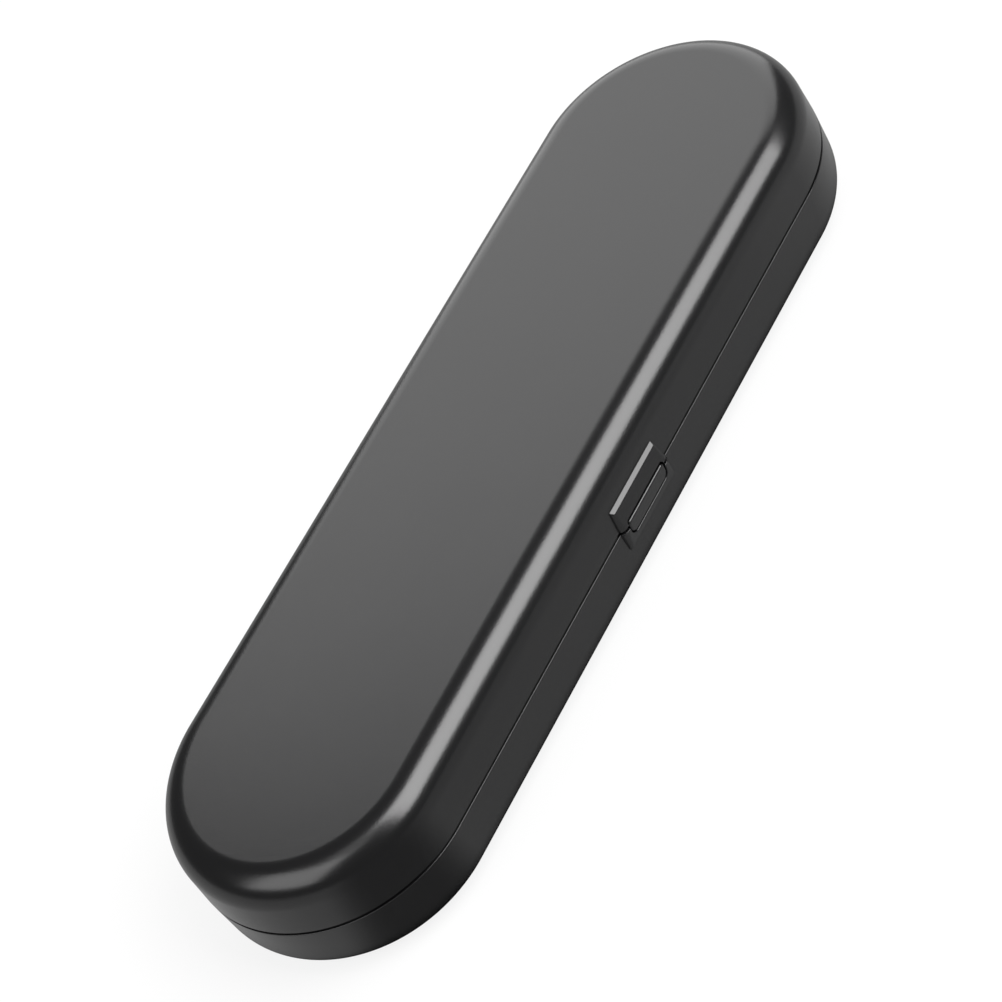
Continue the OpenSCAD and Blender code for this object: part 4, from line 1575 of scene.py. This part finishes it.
@dataclass
class Interior:
    """The tray, the liner, the silicone saddles, the pegs and the foam.

    Attributes:
        shop: What they are made with.
        moulding_edge: Rounding of the tray's and the liner's edges.
        pad_t: Thickness of a saddle.
        pad_seat: How far a saddle's back stays clear of the bay.
        pad_drop: How far below the bay's axis the saddles of the tray end.
        pad_rise: How far above the bay's axis the saddles of the liner end.
        pad_end: How much further from the axis each end is rounded off.
        pad_edge: Rounding of a saddle's long edges.
        thin_end: Share of its thickness that a saddle has at its ends.
        ribs: How many ribs a saddle has.
        groove: Depth of the grooves between them.
        plain: Width of the strip without grooves along each edge.
        peg_r: Radius of a peg.
        peg_edge: Chamfer of its stub and flange.
        peg_fillet: Fillet between its flange and its shaft.
        flange_r: Radius of its flange.
        flange_t: Thickness of its flange.
        flange_play: Play between the flange and the tray.
        stub: Length of the stub in the tray's wall.
        peg_len: Length of a peg past the wall.
        peg_tip: Length of its rounded tip.
        foam_corner: Rounding of a foam block's corners.
        foam_crown: How far the block draws in towards its free face.
        foam_from: Share of its depth at which it starts to draw in.
    """

    shop: Workshop
    moulding_edge: float = 0.3
    pad_t: float = 0.8
    pad_seat: float = 0.03
    pad_drop: float = 2.0
    pad_rise: float = 6.0
    pad_end: float = 0.35
    pad_edge: float = 0.5
    thin_end: float = 0.35
    ribs: int = 5
    groove: float = 0.28
    plain: float = 0.6
    peg_r: float = 2.4
    peg_edge: float = 0.2
    peg_fillet: float = 0.3
    flange_r: float = 4.2
    flange_t: float = 1.2
    flange_play: float = 0.02
    stub: float = 1.6
    peg_len: float = 11.0
    peg_tip: float = 1.0
    foam_corner: float = 2.2
    foam_crown: float = 1.1
    foam_from: float = 0.6

    def mouldings(self) -> None:
        """Rounds the edges of the tray and of the liner."""
        shop = self.shop
        tray = soften(merged_copy("tray_moulding", shop.nodes["base_tray"]), self.moulding_edge)
        shop.mount(tray, Body.BASE, INNER_GREY, Slot.INNER, ("base_tray",))
        liner = soften(merged_copy("liner_moulding", shop.nodes["lid_liner"]), self.moulding_edge)
        shop.mount(liner, Body.LID, INNER_GREY, Slot.INNER, ("lid_liner",))

    def saddle(self, node: str, way: Way, body: Body) -> None:
        """Builds one silicone saddle, bent round the handle bay, with grooves along it.

        Args:
            node: The node that it replaces.
            way: DOWN in the tray and UP in the liner.
            body: The body that it rides on.
        """
        shop, s = self.shop, self.shop.sizes
        low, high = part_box(node)
        x0, x1 = low.x / MM, high.x / MM
        outer = s.handle_r - self.pad_seat
        inner = s.handle_r - self.pad_t
        reach = self.pad_drop if way is Way.DOWN else self.pad_rise
        limit = math.degrees(math.asin((reach + self.pad_end) / inner))
        steps = 72
        end_steps = steps / 20
        profile = self._ribbed(x1 - x0, outer, inner)
        rings = []
        for i in range(steps + 1):
            angle = math.radians(limit + (180 - 2 * limit) * i / steps) * way.value
            ease = min(1.0, min(i, steps - i) / end_steps)
            swell = self.thin_end + (1 - self.thin_end) * math.sqrt(1 - (1 - ease) ** 2)
            ring = []
            for x, r in profile:
                radius = outer - (outer - r) * swell
                across = s.handle_y + radius * math.cos(angle)
                ring.append(Vector((x0 + x, across, s.axis_z + radius * math.sin(angle))))
            rings.append(in_frame(ring, s))
        piece = prism(node.replace("handle_pad", "tray_saddle").replace("lid_pad", "lid_saddle"), rings)
        shop.mount(piece, body, SILICONE, Slot.SOFT, (node,))

    def _ribbed(self, width: float, outer: float, inner: float) -> Outline:
        """Closed profile of a saddle across its width, with rounded edges and ribs.

        Args:
            width: Width of the saddle.
            outer: Radius of its back.
            inner: Radius of its ribs' crests.

        Returns:
            Place across the width, and radius.
        """
        count = 12 * self.ribs
        r = self.pad_edge
        face: Outline = []
        for i in range(count + 1):
            x = width * i / count
            edge = min(x, width - x)
            round_off = 0.0 if edge > r else r - math.sqrt(r**2 - (r - edge) ** 2)
            wave = 0.5 - 0.5 * math.cos(2 * math.pi * self.ribs * x / width)
            dip = self.groove * (1 - wave) ** 2 if self.plain < x < width - self.plain else 0.0
            face.append((x, min(outer - 0.1, inner + round_off + dip)))
        return [(0.0, outer), *face, (width, outer)]

    def peg(self, side: int, node: str) -> None:
        """Builds one peg with its flange, its stub and its rounded tip.

        Args:
            side: 1 on the right and -1 on the left.
            node: The node that it replaces.
        """
        shop = self.shop
        low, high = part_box(node)
        middle = (low + high) / 2
        start = (low.x if side > 0 else high.x) / MM
        skin_x = start + side * self.stub
        r, wide, tip = self.peg_r, self.flange_r, self.peg_len
        edge, fillet, nose = self.peg_edge, self.peg_fillet, self.peg_tip
        f0 = self.flange_play
        f1 = f0 + self.flange_t
        profile = [(0, -self.stub), (r - edge, -self.stub), (r, -self.stub + edge), (r, f0)]
        profile += [(wide - edge, f0), (wide, f0 + edge), (wide, f1 - edge), (wide - edge, f1)]
        profile += [(r + fillet, f1), (r, f1 + fillet), (r, tip - nose)]
        profile += [(r - 0.15 * nose, tip - 0.6 * nose), (r - 0.8 * nose, tip - 0.12 * nose)]
        profile += [(r - nose, tip), (0, tip)]
        place = (
            Matrix.Translation(Vector((skin_x * MM, middle.y, middle.z)))
            @ Matrix.Rotation(side * math.pi / 2, 4, "Y")
            @ Matrix.Scale(MM, 4)
        )
        piece = turned(node.replace("brush_peg", "head_peg"), profile, 64, place)
        shop.mount(piece, Body.BASE, ACETAL, Slot.PEG, (node,))

    def foam(self, node: str) -> None:
        """Builds one foam block with soft edges and a slight crown.

        Args:
            node: The node that it replaces.
        """
        shop, s = self.shop, self.shop.sizes
        low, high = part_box(node)
        centre = (low + high) / 2
        half = (high - low) / 2
        rings = []
        levels = 10
        corner = self.foam_corner * MM
        for i in range(levels + 1):
            t = i / levels
            z = high.z - (high.z - low.z) * t
            past = max(0.0, (t - self.foam_from) / (1 - self.foam_from))
            pull = (1 - math.sqrt(1 - past**2 * 0.96)) * self.foam_crown * MM
            ring = []
            for sx, sy, a0 in ((1, 1, 0), (-1, 1, 90), (-1, -1, 180), (1, -1, 270)):
                cx = centre.x + sx * (half.x - corner)
                cy = centre.y + sy * (half.y - corner)
                for k in range(9):
                    a = math.radians(a0 + 90 * k / 8)
                    reach = corner - pull
                    ring.append(Vector((cx + reach * math.cos(a), cy + reach * math.sin(a), z)))
            rings.append(ring)
        piece = prism(node.replace("head_foam", "foam_block"), rings)
        shop.mount(piece, Body.LID, FOAM, Slot.FOAM, (node,))

    def build(self) -> None:
        """Builds what lies inside the shells."""
        self.mouldings()
        for node in ("handle_pad_foot", "handle_pad_neck"):
            self.saddle(node, Way.DOWN, Body.BASE)
        for node in ("lid_pad_foot", "lid_pad_neck"):
            self.saddle(node, Way.UP, Body.LID)
        self.peg(-1, "brush_peg_left")
        self.peg(1, "brush_peg_right")
        for node in ("head_foam_left", "head_foam_right"):
            self.foam(node)


class Head(Enum):
    """Forms of a screw's head."""

    COUNTERSUNK = "countersunk"
    PAN = "pan"


@dataclass
class Fasteners:
    """The screws and the hinge pins.

    Attributes:
        shop: What they are made with.
        screw_r: Radius of a screw's shaft.
        tip_r: Radius of its blunt tip.
        tip_h: Height of its tip.
        csk_r: Radius of a countersunk head.
        csk_h: Height of that head.
        csk_edge: How far the rim of that head is broken.
        pan_r: Radius of a pan head.
        pan_h: Height of that head.
        pan_round: Rounding of its rim.
        cross_half: Half of the length of the cross in a head.
        cross_w: Width of its slots.
        cross_depth: Depth of the cross.
        cross_foot: Share of its width that it has at its foot.
        cross_mouth: Share of its width that its cutter has above the head.
        deck_turn: Turn of the screws in the decks, in radians.
        latch_turn: Turn of the screws of the latch, in radians.
    """

    shop: Workshop
    screw_r: float = 1.0
    tip_r: float = 0.4
    tip_h: float = 0.6
    csk_r: float = 1.9
    csk_h: float = 0.8
    csk_edge: float = 0.12
    pan_r: float = 1.7
    pan_h: float = 0.9
    pan_round: float = 0.45
    cross_half: float = 0.95
    cross_w: float = 0.36
    cross_depth: float = 0.55
    cross_foot: float = 0.45
    cross_mouth: float = 1.06
    deck_turn: float = 0.4
    latch_turn: float = 0.5

    def screw(self, head: Head, length: float) -> bpy.types.Object:
        """Builds one screw that hangs down from the origin, with a cross in its head.

        Args:
            head: Form of its head.
            length: Length under its face.

        Returns:
            The screw, in metres.
        """
        scale = Matrix.Scale(MM, 4)
        point = [(self.screw_r, -length + self.tip_h), (self.tip_r, -length), (0, -length)]
        if head is Head.COUNTERSUNK:
            top = 0.0
            rim = self.csk_edge
            face = [(0, 0), (self.csk_r - rim, 0), (self.csk_r, -rim / 2), (self.screw_r, -self.csk_h)]
        else:
            top = self.pan_h
            r = self.pan_round
            dome = arc((self.pan_r - r, self.pan_h - 0.5), r, 80, 0, 5)
            face = [(0, top), (0.7, top - 0.01), *dome, (self.pan_r, 0), (self.screw_r, 0)]
        body = turned("screw", face + point, 40, scale)
        w, h, d = self.cross_w / 2, self.cross_half, self.cross_depth
        plus = [(w, w), (w, h), (-w, h), (-w, w), (-h, w), (-h, -w), (-w, -w), (-w, -h), (w, -h), (w, -w)]
        plus += [(h, -w), (h, w)]
        rings = []
        for z, share in ((top - d, self.cross_foot), (top + 0.2, self.cross_mouth)):
            rings.append([scale @ Vector((x * share, y * share, z)) for x, y in plus])
        return carve(body, prism("cross", rings))

    def places(self, node: str, count: int) -> list[tuple[Vector, Vector]]:
        """Finds the box of each screw in a node that holds several.

        Args:
            node: The node.
            count: How many screws it has.

        Returns:
            The lowest and highest corner of each screw.
        """
        shape = bmesh.new()
        shape.from_mesh(self.shop.nodes[node].data)
        bmesh.ops.remove_doubles(shape, verts=shape.verts, dist=SAME_POINT)
        left = set(shape.verts)
        boxes = []
        while left:
            group, todo = [], [left.pop()]
            while todo:
                vert = todo.pop()
                group.append(vert.co.copy())
                for edge in vert.link_edges:
                    other = edge.other_vert(vert)
                    if other in left:
                        left.discard(other)
                        todo.append(other)
            low = Vector([min(p[i] for p in group) for i in range(3)])
            high = Vector([max(p[i] for p in group) for i in range(3)])
            boxes.append((low, high))
        shape.free()
        if len(boxes) != count:
            LOG.warning("%s has %d screws, not %d", node, len(boxes), count)
        return sorted(boxes, key=lambda box: tuple(box[0]))

    def deck_screws(self) -> None:
        """Puts the countersunk screws into the decks of the tray and the liner."""
        for node, name, body, way in (
            ("tray_screws", "tray_fixings", Body.BASE, Way.DOWN),
            ("liner_screws", "liner_fixings", Body.LID, Way.UP),
        ):
            boxes = self.places(node, 4)
            length = (boxes[0][1].z - boxes[0][0].z) / MM
            faces = []
            for low, high in boxes:
                middle = (low + high) / 2
                faces.append(Vector((middle.x, middle.y, high.z if way is Way.DOWN else low.z)))
            turn = (0.0 if way is Way.DOWN else math.pi, 0.0, self.deck_turn)
            form = self.screw(Head.COUNTERSUNK, length)
            paint = self.shop.paint(SCREW_STEEL)
            piece = self.shop.copies.place(name, form, faces, turn, paint)
            self.shop.mount(piece, body, SCREW_STEEL, Slot.STEEL, (node,))

    def latch_screws(self) -> None:
        """Puts the pan head screws into the latch's bracket and keeper."""
        for node, name, body in (
            ("latch_screws", "bracket_fixings", Body.BASE),
            ("keeper_screws", "keeper_fixings", Body.LID),
        ):
            boxes = self.places(node, 2)
            length = (boxes[0][1].y - boxes[0][0].y) / MM - self.pan_h
            seats = []
            for low, high in boxes:
                middle = (low + high) / 2
                seats.append(Vector((middle.x, high.y - self.pan_h * MM, middle.z)))
            form = self.screw(Head.PAN, length)
            paint = self.shop.paint(SCREW_STEEL)
            turn = (-math.pi / 2, self.latch_turn, 0.0)
            piece = self.shop.copies.place(name, form, seats, turn, paint)
            self.shop.mount(piece, body, SCREW_STEEL, Slot.STEEL, (node,))

    def build(self) -> None:
        """Places every screw and dresses the hinge pins."""
        self.deck_screws()
        self.latch_screws()
        for node in ("hinge_pin_left", "hinge_pin_right"):
            self.shop.repaint(node, PIN_STEEL)


# Studio


@dataclass(frozen=True)
class Softbox:
    """A soft lamp that faces the case.

    Attributes:
        name: Name of the lamp.
        place: Where its middle hangs, in metres.
        aim: The point that it faces, in metres.
        width: Its width, in metres.
        height: Its height, in metres.
        glow: Radiance of its face, where a white wall under plain light has 1.
    """

    name: str
    place: tuple[float, float, float]
    aim: tuple[float, float, float]
    width: float
    height: float
    glow: float

    def build(self) -> None:
        """Makes the lamp."""
        data = bpy.data.lights.new(self.name, "AREA")
        data.shape = "RECTANGLE"
        data.size = self.width
        data.size_y = self.height
        data.energy = self.glow * math.pi * self.width * self.height
        lamp = bpy.data.objects.new(self.name, data)
        bpy.context.scene.collection.objects.link(lamp)
        away = Vector(self.place) - Vector(self.aim)
        lamp.location = Vector(self.place)
        lamp.rotation_mode = "QUATERNION"
        lamp.rotation_quaternion = away.to_track_quat("Z", "Y")


@dataclass
class Studio:
    """The camera, the lamps, the floor and the world.

    Attributes:
        sizes: Sizes of the case.
        azimuth: Angle of the camera round the case, in degrees.
        elevation: Angle of the camera above the floor, in degrees.
        roll: Turn of the camera about its own axis, in degrees.
        distance: Distance of the camera from the case's foot, in millimetres.
        shift: How far the case's foot lies from the camera's axis, right and down, in millimetres.
        focal: Focal length for a frame 36 mm wide, in millimetres.
        floor_drop: How far the floor lies below the case's foot, in millimetres.
        floor_half: Half of the floor's width, in metres.
        floor_glow: Share of the floor's white that doesn't come from the lamps.
        mirrored_floor: How bright that share looks in a mirror.
        mirrored_world: How bright the white world looks in a mirror.
        world_level: How much plain light the world gives.
        shade_reach: How far past the case's edge the floor in a mirror has a painted contact shadow, in
            metres.
        dark_side: Direction from the case's near end in which a painted shadow darkens the floor in a mirror.
        dark_cone: Cosines of the angle off that direction, from full painted shadow to none.
        dark_level: Share of the floor's level left in that painted shadow.
        middle_run: Distances along the case, from the painted shade beside its middle to full level, in
            metres.
        middle_level: Share of the floor's level left in the painted shade beside the case's middle.
        far_white: Distances from the middle over which the floor turns fully white, in metres.
        lamps: The soft lamps.
    """

    sizes: CaseSizes
    azimuth: float = -32.99
    elevation: float = 44.09
    roll: float = 35.74
    distance: float = 635.0
    shift: Point = (10.19, 3.455)
    focal: float = 106.59
    floor_drop: float = 0.05
    floor_half: float = 4.0
    floor_glow: float = 0.84
    mirrored_floor: float = 0.52
    mirrored_world: float = 0.1
    world_level: float = 0.15
    shade_reach: float = 0.007
    dark_side: tuple[float, float, float] = (-0.5, -0.866, 0.0)
    dark_cone: Point = (0.98, 0.8)
    dark_level: float = 0.25
    middle_run: Point = (0.06, 0.115)
    middle_level: float = 0.8
    far_white: Point = (0.35, 1.1)
    lamps: tuple[Softbox, ...] = (
        Softbox("back_softbox", (1.12, 0.92, 0.73), (0.0, 0.0, 0.016), 1.64, 1.62, 1.95),
        Softbox("front_softbox", (0.44, -0.72, 1.02), (0.44, 0.0, 0.02), 1.1, 1.06, 7.0),
        Softbox("near_softbox", (-1.07, 0.10, 1.05), (-0.1, 0.0, 0.03), 1.15, 1.0, 2.5),
        Softbox("corner_softbox", (-0.51, -0.32, 1.33), (-0.1, 0.0, 0.03), 0.6, 0.6, 0.9),
    )

    def camera(self) -> None:
        """Makes the camera at the photograph's angle."""
        az, el, roll = (math.radians(a) for a in (self.azimuth, self.elevation, self.roll))
        back = Vector((math.sin(az) * math.cos(el), -math.cos(az) * math.cos(el), math.sin(el)))
        forward = -back
        right = forward.cross(Vector((0, 0, 1))).normalized()
        down = forward.cross(right)
        across = right * math.cos(roll) + down * math.sin(roll)
        under = down * math.cos(roll) - right * math.sin(roll)
        foot = Vector((0, self.sizes.mid_y * MM, 0))
        offset = across * self.shift[0] + under * self.shift[1] + forward * self.distance
        data = bpy.data.cameras.new("photo_camera")
        data.sensor_width = 36
        data.lens = self.focal
        data.clip_start = 0.01
        data.clip_end = 50
        camera = bpy.data.objects.new("photo_camera", data)
        bpy.context.scene.collection.objects.link(camera)
        turn = Matrix((across, -under, back)).transposed().to_4x4()
        camera.matrix_world = Matrix.Translation(foot - offset * MM) @ turn
        bpy.context.scene.camera = camera

    def floor(self) -> None:
        """Makes the pale floor: white to the camera with a faint shadow, and a glow with painted shade in a
        mirror.
        """
        reach = self.floor_half
        level = -self.floor_drop * MM
        corners = [(-reach, -reach), (reach, -reach), (reach, reach), (-reach, reach)]
        floor = mesh_of("floor", [Vector((x, y, level)) for x, y in corners], [(0, 1, 2, 3)])
        made = bpy.data.materials.new("white_floor")
        made.use_nodes = True
        tree = Tree(made.node_tree)
        shader = made.node_tree.nodes["Principled BSDF"]
        place = tree.node("ShaderNodeTexCoord").outputs["Object"]
        mottle = tree.node("ShaderNodeTexNoise", inputs={"Vector": place, "Scale": 3.0})
        rough = tree.node(
            "ShaderNodeMapRange",
            inputs={"Value": mottle.outputs[0], "To Min": 0.85, "To Max": 0.95},
        )
        shader.inputs["Base Color"].default_value = (0.8, 0.8, 0.8, 1)
        shader.inputs["Specular IOR Level"].default_value = 0.0
        made.node_tree.links.new(rough.outputs[0], shader.inputs["Roughness"])
        white = tree.node("ShaderNodeEmission", inputs={"Color": (1, 1, 1, 1)})
        path = tree.node("ShaderNodeLightPath")
        away = tree.node("ShaderNodeVectorMath", {"operation": "LENGTH"}, {0: place})
        glow = tree.node(
            "ShaderNodeMapRange",
            inputs={
                "Value": away.outputs["Value"],
                "From Min": self.far_white[0],
                "From Max": self.far_white[1],
                "To Min": self.floor_glow,
            },
        )
        direct = tree.math("MULTIPLY", path.outputs["Is Camera Ray"], glow.outputs[0])
        share = tree.math("MAXIMUM", direct, self._mirror_ray(tree, path))
        # In a mirror the floor is a glow, and its darker parts there are painted shade.
        level = self._seen(tree, self._mirrored_floor_with_painted_shade(tree, place))
        made.node_tree.links.new(level, white.inputs["Strength"])
        mixed = tree.node("ShaderNodeMixShader", inputs={0: share, 1: shader.outputs[0], 2: white.outputs[0]})
        output = made.node_tree.nodes["Material Output"]
        made.node_tree.links.new(mixed.outputs[0], output.inputs["Surface"])
        floor.data.materials.append(made)

    def _mirrored_floor_with_painted_shade(self, tree: Tree, place: bpy.types.NodeSocket) -> bpy.types.NodeSocket:
        """Adds the level of the floor in a mirror, with painted shade under the case, beside it and off one
        corner.

        Args:
            tree: The floor's tree.
            place: Where a point lies on the floor.

        Returns:
            The level.
        """
        s = self.sizes
        parts = tree.node("ShaderNodeSeparateXYZ", inputs={0: place})
        along = tree.math("ABSOLUTE", parts.outputs[0])
        past = tree.math("MAXIMUM", tree.math("SUBTRACT", along, s.half * MM), 0.0)
        across = tree.math("SUBTRACT", parts.outputs[1], s.mid_y * MM)
        squares = tree.math("ADD", tree.math("POWER", past, 2.0), tree.math("POWER", across, 2.0))
        reach = tree.math("SQRT", squares)
        # Painted contact shadow: the floor's glow in a mirror darkens towards the case's foot.
        contact = (s.end_r - s.bottom_round / 2) * MM
        clear = self._eased(tree, reach, (contact, s.end_r * MM + self.shade_reach))
        # Painted shadow off the case's near end: the floor's glow in a mirror darkens in one direction.
        corner = (-s.half * MM, s.mid_y * MM, 0.0)
        centre = tree.node("ShaderNodeVectorMath", {"operation": "SUBTRACT"}, {0: place, 1: corner})
        away = tree.node("ShaderNodeVectorMath", {"operation": "NORMALIZE"}, {0: centre.outputs[0]})
        side = tree.node(
            "ShaderNodeVectorMath",
            {"operation": "DOT_PRODUCT"},
            {0: away.outputs[0], 1: self.dark_side},
        )
        off_corner_shade = self._eased(tree, side.outputs["Value"], self.dark_cone, self.dark_level)
        # Painted shade on the floor's glow in a mirror, beside the case's middle.
        ends = self._eased(tree, along, self.middle_run, self.middle_level)
        # The three painted shades together, on the floor's level in a mirror.
        painted_shade = tree.math("MULTIPLY", tree.math("MULTIPLY", clear, off_corner_shade), ends)
        return tree.math("MULTIPLY", painted_shade, self.mirrored_floor)

    def _eased(
        self, tree: Tree, value: bpy.types.NodeSocket, span: Point, start: float = 0.0
    ) -> bpy.types.NodeSocket:
        """Adds a level that goes smoothly up to 1 over a span of a value.

        Args:
            tree: The tree.
            value: The value.
            span: Where the level starts and where it is 1.
            start: Level at the start.

        Returns:
            The level.
        """
        made = tree.node(
            "ShaderNodeMapRange",
            {"interpolation_type": "SMOOTHSTEP"},
            {"Value": value, "From Min": span[0], "From Max": span[1], "To Min": start},
        )
        return made.outputs[0]

    def _mirror_ray(self, tree: Tree, path: bpy.types.Node) -> bpy.types.NodeSocket:
        """Adds whether a ray is a glossy or a transmission ray, from the tree's Light Path node."""
        return tree.math("MAXIMUM", path.outputs["Is Glossy Ray"], path.outputs["Is Transmission Ray"])

    def _seen(
        self, tree: Tree, mirrored: float | bpy.types.NodeSocket, scattered: float = 0.0
    ) -> bpy.types.NodeSocket:
        """Adds the level at which the ground is seen, which is 1 for the camera.

        Args:
            tree: The material's or the world's tree.
            mirrored: Level for glossy and transmission rays.
            scattered: Level for all other rays.

        Returns:
            The level.
        """
        path = tree.node("ShaderNodeLightPath")
        direct = path.outputs["Is Camera Ray"]
        indirect = self._mirror_ray(tree, path)
        others = tree.math("SUBTRACT", 1.0, tree.math("MAXIMUM", direct, indirect))
        dim = tree.math("MULTIPLY", others, scattered)
        glossy = tree.math("MULTIPLY", indirect, mirrored)
        return tree.math("MAXIMUM", tree.math("MAXIMUM", direct, dim), glossy)

    def world(self) -> None:
        """Makes a dim world that the camera sees as white."""
        world = bpy.data.worlds.new("studio")
        bpy.context.scene.world = world
        world.use_nodes = True
        tree = Tree(world.node_tree)
        level = self._seen(tree, self.mirrored_world, self.world_level)
        ground = world.node_tree.nodes["Background"]
        ground.inputs["Color"].default_value = (1, 1, 1, 1)
        world.node_tree.links.new(level, ground.inputs["Strength"])

    def build(self) -> None:
        """Builds the studio."""
        self.camera()
        self.floor()
        self.world()
        for lamp in self.lamps:
            lamp.build()
        bpy.context.scene.view_settings.view_transform = "Standard"


def main() -> None:
    """Builds the dressed case and its studio."""
    logging.basicConfig(level=logging.INFO, format="%(name)s: %(message)s")
    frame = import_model()
    sizes = CaseSizes.from_frame()
    LOG.info("case: %s", sizes)
    Studio(sizes).build()
    shop = Workshop(sizes, LatchSizes(), frame["nodes"])
    shells = Shells(shop)
    shells.build()
    Latch(shop, shells).build()
    Interior(shop).build()
    Fasteners(shop).build()


if __name__ == "__main__":
    main()
